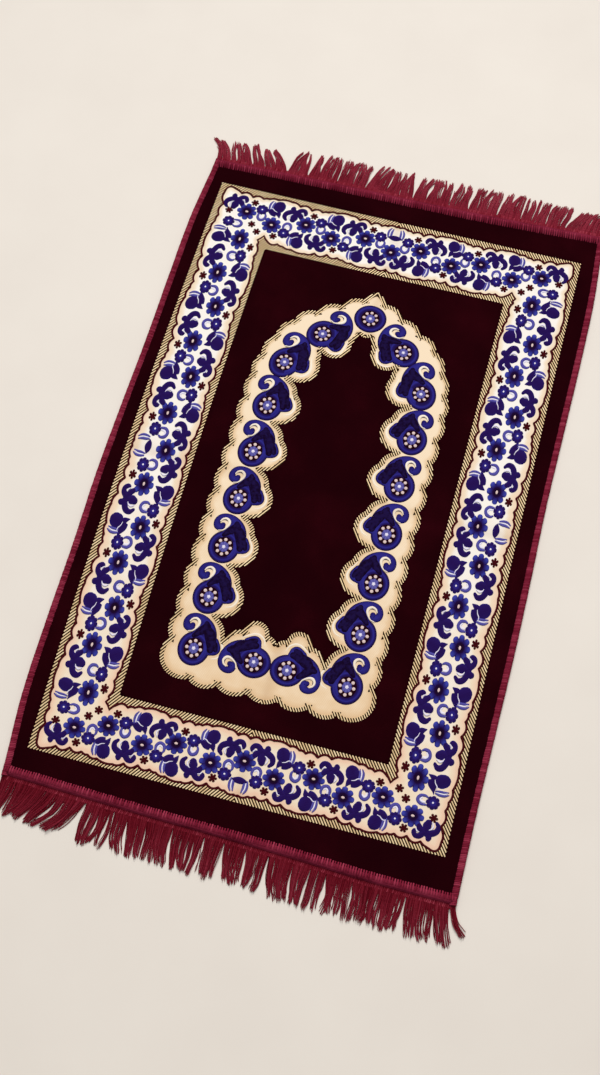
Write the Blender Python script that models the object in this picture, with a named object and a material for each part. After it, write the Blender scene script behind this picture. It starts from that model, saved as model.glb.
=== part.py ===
"""A prayer rug of cut-pile velvet, lying flat, with overlocked sides, headed ends and a yarn fringe at each end.

Metres, +Z up. +Y points to the far end, where the woven arch points, and the origin is the middle of the
underside. Everything rests on z = 0. Run it with blender --background --python part.py, or from the text editor.
"""

import math

import bmesh
import bpy

COLLECTION = "prayer_rug"

# The cloth: a woven ground with cut pile on it, and two soft creases where the mat was stored folded.
CLOTH_THICKNESS = 0.004
CREASE_DEPTH = 0.0008
CREASE_HALF_WIDTH = 0.012
CROSS_CREASE_Y = -0.008
LENGTH_CREASE_X = 0.003
CLOTH_COLUMNS = 24
CLOTH_ROWS = 40
# How much closer together the cloth's lines are in the middle, where the creases run, than on average.
MIDDLE_SPACING = 0.4

# The yarn edges: each roll's width in plan and its height.
BINDING_WIDTH = 0.0080
BINDING_HEIGHT = 0.0056
HEADING_WIDTH = 0.0115
HEADING_HEIGHT = 0.0066
ROLL_SIDES = 10
# How far the roll's oval would dip under the floor if it weren't flattened there.
ROLL_FLATTENING = 0.0006

# The fringes: a braid along the heading, and the clumps that hang from it.
FRINGE_THICKNESS = 0.003
BRAID_DEPTH = 0.006
SLIT_WIDTH = 0.0008
CLUMP_EDGE_STEPS = 4
CLUMP_TIP_STEPS = 3
CLUMP_BOW = 1.3
TIP_ROUNDING = 0.002

SEAM_GAP = 0.0003

HALF_LENGTH = 0.54
HALF_WIDTH = 0.33

# Where the outer edge of each side binding runs, in sections from the near end to the far one.
SIDE_COLUMNS = ("y", "left_x", "right_x")
SIDE_SECTIONS = (
    (-0.54, -0.326, 0.331),
    (-0.42, -0.336, 0.331),
    (-0.30, -0.338, 0.333),
    (-0.18, -0.338, 0.335),
    (-0.06, -0.340, 0.335),
    (0.06, -0.338, 0.334),
    (0.18, -0.335, 0.336),
    (0.30, -0.334, 0.338),
    (0.42, -0.332, 0.338),
    (0.54, -0.323, 0.332),
)

# Where the outer edge of each heading runs, in sections from the left side to the right one.
END_COLUMNS = ("x", "near_y", "far_y")
END_SECTIONS = (
    (-0.33, -0.545, 0.542),
    (-0.22, -0.548, 0.545),
    (-0.11, -0.551, 0.547),
    (0.00, -0.553, 0.548),
    (0.11, -0.556, 0.550),
    (0.22, -0.560, 0.554),
    (0.33, -0.560, 0.558),
)

# The fringes' clumps from left to right: where each starts on the braid, where its cut ends lie, and its length.
CLUMP_COLUMNS = ("root_left", "root_right", "tip_left", "tip_right", "length")
NEAR_CLUMPS = (
    (-0.325, -0.258, -0.328, -0.284, 0.054),
    (-0.257, -0.199, -0.280, -0.232, 0.056),
    (-0.198, -0.168, -0.200, -0.177, 0.061),
    (-0.167, -0.158, -0.171, -0.157, 0.062),
    (-0.157, -0.072, -0.149, -0.070, 0.061),
    (-0.071, -0.026, -0.060, -0.031, 0.061),
    (-0.025, 0.002, -0.021, 0.000, 0.059),
    (0.003, 0.066, 0.010, 0.062, 0.058),
    (0.067, 0.138, 0.075, 0.134, 0.060),
    (0.139, 0.186, 0.141, 0.184, 0.059),
    (0.187, 0.262, 0.188, 0.259, 0.058),
    (0.263, 0.322, 0.270, 0.331, 0.058),
    (0.323, 0.330, 0.343, 0.352, 0.040),
)
FAR_CLUMPS = (
    (-0.322, -0.299, -0.337, -0.315, 0.043),
    (-0.298, -0.262, -0.305, -0.277, 0.043),
    (-0.261, -0.240, -0.273, -0.262, 0.046),
    (-0.239, -0.203, -0.248, -0.228, 0.042),
    (-0.202, -0.168, -0.186, -0.171, 0.052),
    (-0.167, -0.150, -0.158, -0.150, 0.050),
    (-0.149, -0.118, -0.140, -0.118, 0.053),
    (-0.117, -0.070, -0.112, -0.064, 0.053),
    (-0.069, -0.036, -0.048, -0.028, 0.056),
    (-0.035, -0.012, -0.024, -0.008, 0.052),
    (-0.011, 0.011, -0.004, 0.007, 0.055),
    (0.012, 0.072, 0.022, 0.071, 0.052),
    (0.073, 0.104, 0.084, 0.105, 0.053),
    (0.105, 0.152, 0.112, 0.156, 0.053),
    (0.153, 0.192, 0.160, 0.196, 0.053),
    (0.193, 0.216, 0.203, 0.218, 0.051),
    (0.217, 0.266, 0.226, 0.276, 0.049),
    (0.267, 0.325, 0.286, 0.335, 0.047),
)


def read_smoothly(sections, columns, name, place):
    """The named column of a table of evenly spaced sections, on a smooth curve through them, at one place."""
    column = columns.index(name)
    spacing = sections[1][0] - sections[0][0]
    index = int((place - sections[0][0]) // spacing)
    index = min(max(index, 0), len(sections) - 2)
    before = sections[max(index - 1, 0)][column]
    start = sections[index][column]
    end = sections[index + 1][column]
    after = sections[min(index + 2, len(sections) - 1)][column]
    part = (place - sections[index][0]) / spacing
    bend = (2 * before - 5 * start + 4 * end - after) * part**2
    twist = (3 * start - before - 3 * end + after) * part**3
    return start + 0.5 * ((end - before) * part + bend + twist)


def side_x(side, y):
    return read_smoothly(SIDE_SECTIONS, SIDE_COLUMNS, f"{side}_x", y)


def end_y(end, x):
    return read_smoothly(END_SECTIONS, END_COLUMNS, f"{end}_y", x)


def station(index, count):
    """The share, from -1 to 1, at which one line of the cloth runs: closer together in the middle."""
    share = 2 * index / count - 1
    return MIDDLE_SPACING * share + (1 - MIDDLE_SPACING) * share**3


def plan_point(across, along, side_inset, end_inset):
    """A point of the mat's plan from its shares across and along, with its outline drawn in by the insets."""
    nominal_x = across * HALF_WIDTH
    nominal_y = along * HALF_LENGTH
    left = side_x("left", nominal_y) + side_inset
    right = side_x("right", nominal_y) - side_inset
    near = end_y("near", nominal_x) + end_inset
    far = end_y("far", nominal_x) - end_inset
    x = left + (right - left) * (across + 1) / 2
    y = near + (far - near) * (along + 1) / 2
    return x, y


def pile_height(x, y):
    """The height of the cloth's top, which dips softly along the two creases."""
    cross = math.exp(-(((y - CROSS_CREASE_Y) / CREASE_HALF_WIDTH) ** 2))
    length = math.exp(-(((x - LENGTH_CREASE_X) / CREASE_HALF_WIDTH) ** 2))
    return CLOTH_THICKNESS - CREASE_DEPTH * max(cross, length)


def make_material(name, colour, roughness, sheen):
    material = bpy.data.materials.new(name)
    material.use_nodes = True
    shader = material.node_tree.nodes["Principled BSDF"]
    shader.inputs["Base Color"].default_value = (*colour, 1.0)
    shader.inputs["Roughness"].default_value = roughness
    shader.inputs["Metallic"].default_value = 0.0
    shader.inputs["Sheen Weight"].default_value = sheen
    material.diffuse_color = (*colour, 1.0)
    return material


def add_object(name, data, collection, material):
    made = bpy.data.objects.new(name, data)
    data.materials.append(material)
    collection.objects.link(made)
    return made


def build_cloth(collection, material):
    """The cloth: a grid fitted to the outline and raised to a solid whose top has the creases."""
    side_inset = BINDING_WIDTH + SEAM_GAP
    end_inset = HEADING_WIDTH + SEAM_GAP
    form = bmesh.new()
    bmesh.ops.create_grid(form, x_segments=CLOTH_COLUMNS, y_segments=CLOTH_ROWS, size=1.0)
    for point in form.verts:
        column = round((point.co.x + 1) / 2 * CLOTH_COLUMNS)
        row = round((point.co.y + 1) / 2 * CLOTH_ROWS)
        across = station(column, CLOTH_COLUMNS)
        along = station(row, CLOTH_ROWS)
        point.co.x, point.co.y = plan_point(across, along, side_inset, end_inset)
    raised = bmesh.ops.extrude_face_region(form, geom=form.faces[:])
    for point in raised["geom"]:
        if isinstance(point, bmesh.types.BMVert):
            point.co.z = pile_height(point.co.x, point.co.y)
    bmesh.ops.recalc_face_normals(form, faces=form.faces[:])
    mesh = bpy.data.meshes.new("rug_cloth")
    form.to_mesh(mesh)
    form.free()
    return add_object("rug_cloth", mesh, collection, material)


def add_line(curve, points, closed):
    line = curve.splines.new("POLY")
    line.points.add(len(points) - 1)
    for point, (x, y) in zip(line.points, points):
        point.co = (x, y, 0.0, 1.0)
    line.use_cyclic_u = closed


def roll_section(name, width, height, helpers):
    """A guide with a roll's cross section: an oval flattened where it lies on the floor."""
    curve = bpy.data.curves.new(name, "CURVE")
    curve.dimensions = "2D"
    half_height = (height + ROLL_FLATTENING) / 2
    points = []
    for side in range(ROLL_SIDES):
        # Clockwise, so that the swept faces point outwards.
        angle = -2 * math.pi * (side + 0.5) / ROLL_SIDES
        z = height - half_height + half_height * math.sin(angle)
        points.append((width / 2 * math.cos(angle), max(z, 0.0)))
    add_line(curve, points, closed=True)
    guide = bpy.data.objects.new(name, curve)
    guide.hide_render = True
    guide.display_type = "WIRE"
    helpers.objects.link(guide)
    return guide


def build_roll(name, path, section, collection, material):
    """A yarn roll: its section swept along the path, with closed ends."""
    curve = bpy.data.curves.new(name, "CURVE")
    curve.dimensions = "2D"
    curve.bevel_mode = "OBJECT"
    curve.bevel_object = section
    curve.use_fill_caps = True
    add_line(curve, path, closed=False)
    return add_object(name, curve, collection, material)


def build_bindings(collection, helpers, material):
    section = roll_section("binding_section", BINDING_WIDTH, BINDING_HEIGHT, helpers)
    for side, across in (("left", -1), ("right", 1)):
        path = []
        for row in range(CLOTH_ROWS + 1):
            along = station(row, CLOTH_ROWS)
            path.append(plan_point(across, along, BINDING_WIDTH / 2, 0.0))
        build_roll(f"binding_{side}", path, section, collection, material)


def build_headings(collection, helpers, material):
    section = roll_section("heading_section", HEADING_WIDTH, HEADING_HEIGHT, helpers)
    side_inset = BINDING_WIDTH + SEAM_GAP
    for end, along in (("near", -1), ("far", 1)):
        path = []
        for column in range(CLOTH_COLUMNS + 1):
            across = station(column, CLOTH_COLUMNS)
            path.append(plan_point(across, along, side_inset, HEADING_WIDTH / 2))
        build_roll(f"heading_{end}", path, section, collection, material)


def clump_outline(clump, end, outward):
    """One clump's outline, from the braid up its left edge, over its cut ends and down its right edge."""
    root_left, root_right, tip_left, tip_right, length = clump
    base = end_y(end, (root_left + root_right) / 2)
    points = []
    for step in range(CLUMP_EDGE_STEPS):
        part = step / CLUMP_EDGE_STEPS
        x = root_left + SLIT_WIDTH / 2 + (tip_left - root_left) * part**CLUMP_BOW
        points.append((x, base + outward * (BRAID_DEPTH + (length - BRAID_DEPTH) * part)))
    for step in range(CLUMP_TIP_STEPS + 1):
        part = step / CLUMP_TIP_STEPS
        rounding = TIP_ROUNDING * (2 * part - 1) ** 2
        points.append((tip_left + (tip_right - tip_left) * part, base + outward * (length - rounding)))
    for step in range(CLUMP_EDGE_STEPS):
        part = 1 - (step + 1) / CLUMP_EDGE_STEPS
        x = root_right - SLIT_WIDTH / 2 + (tip_right - root_right) * part**CLUMP_BOW
        points.append((x, base + outward * (BRAID_DEPTH + (length - BRAID_DEPTH) * part)))
    return points


def build_fringe(end, outward, clumps, collection, material):
    """A fringe: one flat comb whose braid follows the heading and whose teeth are the clumps of yarn."""
    outline = []
    for clump in clumps:
        outline += clump_outline(clump, end, outward)
    for clump in reversed(clumps):
        for x in (clump[CLUMP_COLUMNS.index("root_right")], clump[CLUMP_COLUMNS.index("root_left")]):
            outline.append((x, end_y(end, x) + outward * SEAM_GAP))
    curve = bpy.data.curves.new(f"fringe_{end}", "CURVE")
    curve.dimensions = "2D"
    curve.fill_mode = "BOTH"
    curve.extrude = FRINGE_THICKNESS / 2
    add_line(curve, outline, closed=True)
    fringe = add_object(f"fringe_{end}", curve, collection, material)
    fringe.location.z = FRINGE_THICKNESS / 2


def clear_scene():
    for old in list(bpy.data.objects):
        bpy.data.objects.remove(old, do_unlink=True)


def main():
    clear_scene()
    parts = bpy.data.collections.new(COLLECTION)
    helpers = bpy.data.collections.new("guides")
    helpers.hide_render = True
    for collection in (parts, helpers):
        bpy.context.scene.collection.children.link(collection)
    pile = make_material("burgundy_pile", (0.035, 0.001, 0.004), roughness=0.95, sheen=0.4)
    yarn = make_material("wine_yarn", (0.24, 0.018, 0.045), roughness=0.9, sheen=0.2)
    build_cloth(parts, pile)
    build_bindings(parts, helpers, yarn)
    build_headings(parts, helpers, yarn)
    build_fringe("near", -1, NEAR_CLUMPS, parts, yarn)
    build_fringe("far", 1, FAR_CLUMPS, parts, yarn)


main()
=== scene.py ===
"""The looks of a woven velvet prayer rug that lies flat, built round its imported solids.

The figured cloth is made as a jacquard velvet is: a ground cloth with raised areas of cut pile, satin ground
and gold thread on it. Its sides are overlocked, its ends are whipped into rolls, and a yarn fringe hangs at
each end. Metres, +Z up, +Y to the end that the woven arch points to. Tables are in millimetres where they
say so.
"""

from __future__ import annotations

import logging
import math
from dataclasses import dataclass, field
from enum import Enum
from typing import Any, Callable, Iterable, NamedTuple, Sequence

import bpy
import numpy as np
from mathutils import Matrix, Vector
from mathutils.geometry import delaunay_2d_cdt
from mathutils.kdtree import KDTree

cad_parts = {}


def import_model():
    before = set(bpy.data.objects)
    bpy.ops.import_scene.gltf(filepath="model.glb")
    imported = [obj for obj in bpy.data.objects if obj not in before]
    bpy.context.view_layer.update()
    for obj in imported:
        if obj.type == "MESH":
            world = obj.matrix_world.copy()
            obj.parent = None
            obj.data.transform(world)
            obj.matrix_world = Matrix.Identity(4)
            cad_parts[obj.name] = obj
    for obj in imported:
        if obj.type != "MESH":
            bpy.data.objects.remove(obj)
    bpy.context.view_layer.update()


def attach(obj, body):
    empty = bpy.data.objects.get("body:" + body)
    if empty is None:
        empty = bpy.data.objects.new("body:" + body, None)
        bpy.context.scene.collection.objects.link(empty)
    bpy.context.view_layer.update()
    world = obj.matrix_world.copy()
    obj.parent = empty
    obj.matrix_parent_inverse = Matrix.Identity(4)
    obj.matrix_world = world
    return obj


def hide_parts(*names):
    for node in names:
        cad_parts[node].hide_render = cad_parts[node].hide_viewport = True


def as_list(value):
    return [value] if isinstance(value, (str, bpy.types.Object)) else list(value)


MM = 0.001
SEED = 20
ROOT = "root"
log = logging.getLogger("rug")

Row = tuple[float, ...]
Tree = bpy.types.NodeTree
Socket = bpy.types.NodeSocket
Thing = bpy.types.Object


# ------------------------------------------------------------------------------
# Nodes and colours


def linear(hex_colour: str) -> tuple[float, float, float, float]:
    """Turns an sRGB hex colour into the linear one that Blender's sockets take.

    Args:
        hex_colour: six hex digits after a hash sign.

    Returns:
        Red, green, blue and an alpha of one.
    """
    channels = [int(hex_colour[i : i + 2], 16) / 255 for i in (1, 3, 5)]
    red, green, blue = (c / 12.92 if c <= 0.04045 else ((c + 0.055) / 1.055) ** 2.4 for c in channels)
    return (red, green, blue, 1.0)


def socket_of(sockets: Any, key: str | int) -> Socket:
    """Finds a node's socket by its number, or the one in use of those that share a name."""
    if isinstance(key, int):
        return sockets[key]
    return next(s for s in sockets if s.name == key and s.enabled)


def add_node(tree: Tree, kind: str, inputs: dict | None = None, **settings: Any) -> bpy.types.Node:
    """Adds one node to a tree, with its settings and links.

    Args:
        tree: the shader or geometry tree that gets the node.
        kind: the node's type name.
        inputs: for each input socket, by name or number, a value or the output socket that feeds it.
        settings: the node's own properties.

    Returns:
        The new node.
    """
    made = tree.nodes.new(kind)
    for name, value in settings.items():
        setattr(made, name, value)
    for key, value in (inputs or {}).items():
        target = socket_of(made.inputs, key)
        if isinstance(value, Socket):
            tree.links.new(value, target)
        else:
            target.default_value = value
    return made


def output(node: bpy.types.Node, key: str | int = 0) -> Socket:
    """One of a node's output sockets, by name or number."""
    return socket_of(node.outputs, key)


def calc(tree: Tree, operation: str, *values: Any) -> Socket:
    """The result of one step of arithmetic on numbers and sockets."""
    return output(add_node(tree, "ShaderNodeMath", dict(enumerate(values)), operation=operation))


def placed(name: str, data: Any) -> Thing:
    """A new object, linked to the scene."""
    made = bpy.data.objects.new(name, data)
    bpy.context.scene.collection.objects.link(made)
    return made


def carry(mesh: bpy.types.Mesh, label: str, values: Any, kind: str = "FLOAT") -> None:
    """Gives each of a mesh's points a number, or a vector."""
    key = "value" if kind == "FLOAT" else "vector"
    mesh.attributes.new(label, kind, "POINT").data.foreach_set(key, np.ravel(values).astype(np.float32))


# ------------------------------------------------------------------------------
# Finishes


@dataclass(frozen=True)
class Finish:
    """What every finish here shares: a matt Principled surface with a colour, a bump and a little sheen.

    A mesh's points may carry two numbers that a finish reads. Shade runs from 0 at a motif's rim or dark heart,
    or a satin's warmer rim, to 1 at its crown or middle: on the motifs it is partly their darker woven outline
    and heart and partly a painted highlight on the crown, and on yarn and gold stitches it is painted shade and
    highlight. Tone differs from one thread or stitch to the next, and in the fringe it also holds painted light.
    """

    name: str
    roughness: float = 0.9
    sheen: float = 0.0
    sheen_roughness: float = 0.4
    sheen_tint: str = "#ffffff"
    metallic: float = 0.0
    specular: float = 0.3

    def material(self) -> bpy.types.Material:
        """The finish's material, made the first time that it is asked for."""
        return bpy.data.materials.get(self.name) or self.mixed()

    def mixed(self) -> bpy.types.Material:
        """Makes the material from the finish's own colour and height.

        Returns:
            The new material.
        """
        made = bpy.data.materials.new(self.name)
        made.use_nodes = True
        tree = made.node_tree
        shader = tree.nodes["Principled BSDF"]
        fixed = {
            "Roughness": self.roughness,
            "Metallic": self.metallic,
            "Specular IOR Level": self.specular,
            "Sheen Weight": self.sheen,
            "Sheen Roughness": self.sheen_roughness,
            "Sheen Tint": linear(self.sheen_tint),
        }
        for name, value in fixed.items():
            shader.inputs[name].default_value = value
        place = output(add_node(tree, "ShaderNodeTexCoord"), "Object")
        tree.links.new(self.colour(tree, place), shader.inputs["Base Color"])
        tree.links.new(self.normal(tree, place), shader.inputs["Normal"])
        made.diffuse_color = shader.inputs["Base Color"].default_value
        return made

    def colour(self, tree: Tree, place: Socket) -> Socket:
        """The socket that the surface's colour comes from."""
        raise NotImplementedError

    def normal(self, tree: Tree, place: Socket) -> Socket:
        """The socket that the surface's bumped normal comes from."""
        raise NotImplementedError


def noise(tree: Tree, place: Socket, size: float, detail: float = 2.0) -> Any:
    """A noise pattern's strength from 0 to 1, with patches of about the given size in metres."""
    inputs = {"Vector": place, "Scale": 1 / size, "Detail": detail}
    return output(add_node(tree, "ShaderNodeTexNoise", inputs))


def rows(tree: Tree, place: Socket, pitch: float, way: str, stray: float) -> Any:
    """Parallel ribs at the given pitch in metres, across the X, Y or DIAGONAL way, with some stray."""
    # Blender's wave repeats every two pi over twenty of a unit at scale one.
    scale = math.tau / 20 / pitch
    inputs = {"Vector": place, "Scale": scale, "Distortion": stray, "Detail": 1.0, "Detail Scale": 0.6}
    return output(add_node(tree, "ShaderNodeTexWave", inputs, bands_direction=way), "Fac")


def sums(tree: Tree, *parts: tuple[Any, float], start: float = 0.0) -> Socket:
    """Adds up sockets, each times its own weight, from a starting number."""
    total: Any = start
    for socket, weight in parts:
        total = calc(tree, "MULTIPLY_ADD", socket, weight, total)
    return total


def ramp(tree: Tree, factor: Any, stops: Sequence[tuple[float, str]]) -> Socket:
    """Turns a number into a colour by a list of places from 0 to 1 and their hex colours."""
    made = add_node(tree, "ShaderNodeValToRGB", {"Fac": factor})
    elements = made.color_ramp.elements
    while len(elements) < len(stops):
        elements.new(0.5)
    for element, (place, hex_colour) in zip(elements, stops):
        element.position = place
        element.color = linear(hex_colour)
    return output(made, "Color")


def blended(tree: Tree, factor: Any, first: Any, second: Any) -> Socket:
    """Mixes two colours, each a socket or a linear colour, by a factor."""
    inputs = {"Factor": factor, "A": first, "B": second}
    return output(add_node(tree, "ShaderNodeMix", inputs, data_type="RGBA"), "Result")


def carried(tree: Tree, name: str) -> Socket:
    """A number that the mesh's points carry."""
    return output(add_node(tree, "ShaderNodeAttribute", attribute_name=name), "Fac")


def bumped(tree: Tree, height: Any, depth: float, strength: float) -> Socket:
    """A normal bent by a height from 0 to 1 that stands for a depth in metres."""
    inputs = {"Height": height, "Distance": depth, "Strength": strength}
    return output(add_node(tree, "ShaderNodeBump", inputs))


@dataclass(frozen=True)
class CutPile(Finish):
    """Cut velvet pile: upright tufts that look darkest head on, lighter where the nap is brushed over.

    The tufts of such a mat stand about 0.9 mm apart, too fine for the eye at this distance, so they are drawn
    a little coarser, at tuft. The nap is the slow change of tone that brushing and rolling leave, painted into
    the
    colour as lighter and darker patches: partly the brushed pile's own tone, partly its sheen as painted light.
    """

    stops: tuple[tuple[float, str], ...] = ()
    tuft: float = 1.5 * MM
    tuft_contrast: float = 0.22
    nap: float = 70 * MM
    nap_contrast: float = 0.25
    pick: float = 2.4 * MM
    sheen: float = 0.01
    specular: float = 0.0

    def colour(self, tree: Tree, place: Socket) -> Socket:
        """The pile's shade, made uneven by its tufts and its nap."""
        tufts = noise(tree, place, self.tuft)
        nap = noise(tree, place, self.nap, detail=4.0)
        centre = -(self.tuft_contrast + self.nap_contrast) / 2
        parts = ((carried(tree, "shade"), 1.0), (tufts, self.tuft_contrast), (nap, self.nap_contrast))
        return ramp(tree, sums(tree, *parts, start=centre), self.stops)

    def normal(self, tree: Tree, place: Socket) -> Socket:
        """Tufts in rows, one row to each pick of the weft."""
        tufts = noise(tree, place, self.tuft)
        picks = rows(tree, place, self.pick, "Y", stray=1.2)
        return bumped(tree, sums(tree, (tufts, 0.7), (picks, 0.3)), 0.5 * MM, 0.5)


@dataclass(frozen=True)
class SatinGround(Finish):
    """Cream satin-woven ground: flat floats of soft yarn with fine ribs, warmer at its rims.

    It is darker and browner in patches along the two old folds: partly soiling, partly painted shade of the
    creases.
    """

    stops: tuple[tuple[float, str], ...] = ()
    fold_soil_and_shade_colour: str = "#b8916a"
    fold_width: float = 9 * MM
    # Painted shade: how much less white and warmer it gets with each metre towards the near end, where the light
    # falls dimmer.
    near_end_painted_shade: float = 0.75
    rib: float = 1.6 * MM
    specular: float = 0.1

    def colour(self, tree: Tree, place: Socket) -> Socket:
        """Cream with a warmer rim, a painted shade towards the near end, faint ribs, slow mottling and browner
        folds.
        """
        mottle = noise(tree, place, 26 * MM, detail=3.0)
        ribs = rows(tree, place, self.rib, "DIAGONAL", stray=2.0)
        axes = add_node(tree, "ShaderNodeSeparateXYZ", {"Vector": place})
        # Painted shade: the cream grows darker and warmer towards the near end.
        near_end = (output(axes, "Y"), self.near_end_painted_shade)
        parts = ((carried(tree, "shade"), 1.0), (mottle, 0.5), (ribs, 0.12), near_end)
        cream = ramp(tree, sums(tree, *parts, start=-0.31), self.stops)
        # Partly soiling, partly painted shade of the creases: browner patches along the two old folds.
        fold_soil_and_shade: Any = 0.0
        for axis, middle in (("X", LIE.length_crease_x), ("Y", LIE.cross_crease_y)):
            off = calc(tree, "MULTIPLY", calc(tree, "ADD", output(axes, axis), -middle), 1 / self.fold_width)
            fade = calc(tree, "POWER", math.e, calc(tree, "POWER", off, 2.0))
            fold_soil_and_shade = calc(tree, "ADD", calc(tree, "DIVIDE", 1.0, fade), fold_soil_and_shade)
        patchy = calc(tree, "MULTIPLY", fold_soil_and_shade, noise(tree, place, 18 * MM, detail=2.0))
        return blended(tree, calc(tree, "MULTIPLY", patchy, 0.5), cream, linear(self.fold_soil_and_shade_colour))

    def normal(self, tree: Tree, place: Socket) -> Socket:
        """Fine slanting ribs over an uneven yarn."""
        ribs = rows(tree, place, self.rib, "DIAGONAL", stray=2.0)
        yarn = noise(tree, place, 2.2 * MM)
        return bumped(tree, sums(tree, (ribs, 0.5), (yarn, 0.5)), 0.25 * MM, 0.35)


@dataclass(frozen=True)
class SpunYarn(Finish):
    """Soft spun acrylic yarn of two plies: matt, each thread a little lighter or darker than the next."""

    stops: tuple[tuple[float, str], ...] = ()
    lay: float = 5 * MM
    specular: float = 0.0

    def colour(self, tree: Tree, place: Socket) -> Socket:
        """The thread's own tone, with fuzz and the painted shade of its place."""
        fuzz = noise(tree, place, 2.5 * MM)
        slow = noise(tree, place, 45 * MM)
        parts = ((carried(tree, "tone"), 0.5), (fuzz, 0.3), (slow, 0.35), (carried(tree, "shade"), 0.25))
        return ramp(tree, sums(tree, *parts, start=-0.2), self.stops)

    def normal(self, tree: Tree, place: Socket) -> Socket:
        """The two plies' twist along the thread, and its fuzz."""
        along, around = carried(tree, "along"), carried(tree, "round")
        twist = calc(tree, "SINE", sums(tree, (along, math.tau / self.lay), (around, 2 * math.tau)))
        fuzz = noise(tree, place, 1.1 * MM)
        return bumped(tree, sums(tree, (twist, 0.3), (fuzz, 0.7)), 0.4 * MM, 0.5)


@dataclass(frozen=True)
class GoldThread(Finish):
    """Flat metallised thread wound on a core: pale gold that glints a little, over brown."""

    stops: tuple[tuple[float, str], ...] = ()
    roughness: float = 0.5
    metallic: float = 0.35
    specular: float = 0.5

    def colour(self, tree: Tree, place: Socket) -> Socket:
        """Each stitch's own tone, dulled in patches, with a painted highlight along its crest."""
        dull = noise(tree, place, 9 * MM)
        grain = noise(tree, place, 1.2 * MM)
        parts = ((carried(tree, "tone"), 0.4), (dull, 0.4), (grain, 0.4), (carried(tree, "shade"), 0.2))
        return ramp(tree, sums(tree, *parts, start=-0.2), self.stops)

    def normal(self, tree: Tree, place: Socket) -> Socket:
        """The winding's fine unevenness."""
        return bumped(tree, noise(tree, place, 0.9 * MM), 0.2 * MM, 0.4)


BURGUNDY_PILE = CutPile(
    "burgundy_cut_pile",
    stops=((0.0, "#120105"), (0.5, "#200308"), (0.75, "#2c050c"), (1.0, "#460a16")),
    sheen_tint="#c02848",
    tuft_contrast=0.25,
    nap=110 * MM,
    nap_contrast=0.8,
)
FLOWER_PILE = CutPile(
    "royal_blue_cut_pile",
    stops=((0.0, "#1c0a1e"), (0.3, "#22114a"), (0.6, "#2a256e"), (0.85, "#343892"), (1.0, "#4248a6")),
    sheen_tint="#6a70d0",
)
BUD_PILE = CutPile(
    "violet_navy_cut_pile",
    stops=((0.0, "#2c267e"), (0.5, "#281b62"), (1.0, "#251350")),
    sheen_tint="#6a60c0",
)
CURL_PILE = CutPile(
    "slate_blue_cut_pile",
    stops=((0.0, "#2e2660"), (0.5, "#3d3886"), (1.0, "#5450a0")),
    sheen_tint="#6a60c0",
)
NAVY_PILE = CutPile(
    "black_navy_cut_pile",
    stops=((0.0, "#231850"), (0.4, "#190d30"), (0.75, "#150822"), (1.0, "#1e1340")),
    tuft=5 * MM,
    tuft_contrast=0.9,
    sheen_tint="#5050a0",
)
RING_PILE = CutPile(
    "ring_blue_cut_pile",
    stops=((0.0, "#1a0a24"), (0.35, "#1f113e"), (0.7, "#241c64"), (1.0, "#2f2c84")),
    sheen_tint="#6068c8",
)
MAROON_PILE = CutPile(
    "maroon_cut_pile",
    stops=((0.0, "#14040c"), (0.6, "#1e0611"), (1.0, "#2a0b1a")),
    sheen_tint="#803050",
)
WINE_PILE = CutPile(
    "wine_cut_pile",
    stops=((0.0, "#34090e"), (0.5, "#3c0c12"), (1.0, "#451016")),
    sheen_tint="#a05050",
)
SKY_PILE = CutPile(
    "pale_blue_cut_pile",
    stops=((0.0, "#322c74"), (0.5, "#4a4792"), (1.0, "#6663aa")),
    sheen_tint="#b0b4f0",
)
LAVENDER_PILE = CutPile(
    "lavender_white_cut_pile",
    stops=((0.0, "#a79fc8"), (0.5, "#cfc9e4"), (1.0, "#ebe8f6")),
    sheen_tint="#ffffff",
)
PEARL_PILE = CutPile(
    "pearl_cut_pile",
    stops=((0.0, "#8a6a74"), (0.5, "#bf9fa4"), (1.0, "#dcc6c2")),
    sheen_tint="#ffffff",
)
BORDER_SATIN = SatinGround(
    "border_satin_ground",
    stops=((0.0, "#ecc8ae"), (0.2, "#eed2b8"), (0.6, "#eedbc0"), (0.85, "#f3e7d8"), (1.0, "#f6f1ea")),
)
ARCH_SATIN = SatinGround(
    "arch_satin_ground",
    stops=((0.0, "#d4b088"), (0.35, "#dfbe96"), (0.7, "#e8cba6"), (1.0, "#f4dfc2")),
)
WHITE_SATIN = SatinGround(
    "white_satin_ground",
    stops=((0.0, "#ead8c0"), (1.0, "#f5ebdb")),
)
GOLD_STITCH = GoldThread(
    "pale_gold_thread",
    stops=((0.0, "#bd9c70"), (0.5, "#e6c898"), (1.0, "#fbe8c0")),
)
GOLD_BED = GoldThread(
    "shaded_gold_thread",
    stops=((0.0, "#1c0f08"), (0.5, "#2e1c10"), (1.0, "#46301c")),
    metallic=0.0,
    roughness=0.9,
    specular=0.0,
)
GROUND_CLOTH = SpunYarn(
    "woven_ground_cloth",
    stops=((0.0, "#22060c"), (1.0, "#3a0d17")),
)
EDGE_YARN = SpunYarn(
    "overlocking_yarn",
    stops=((0.0, "#420b18"), (0.35, "#6c182b"), (0.7, "#87293f"), (1.0, "#a03e54")),
)
ROLL_YARN = SpunYarn(
    "edge_roll_yarn",
    stops=((0.0, "#4c0e1c"), (0.15, "#702034"), (0.4, "#8e2f46"), (1.0, "#a8455a")),
)
FRINGE_YARN = SpunYarn(
    "loose_fringe_yarn",
    stops=((0.0, "#3a0810"), (0.35, "#67121f"), (0.7, "#822535"), (1.0, "#a84455")),
)


# ------------------------------------------------------------------------------
# Lines and meshes


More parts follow.
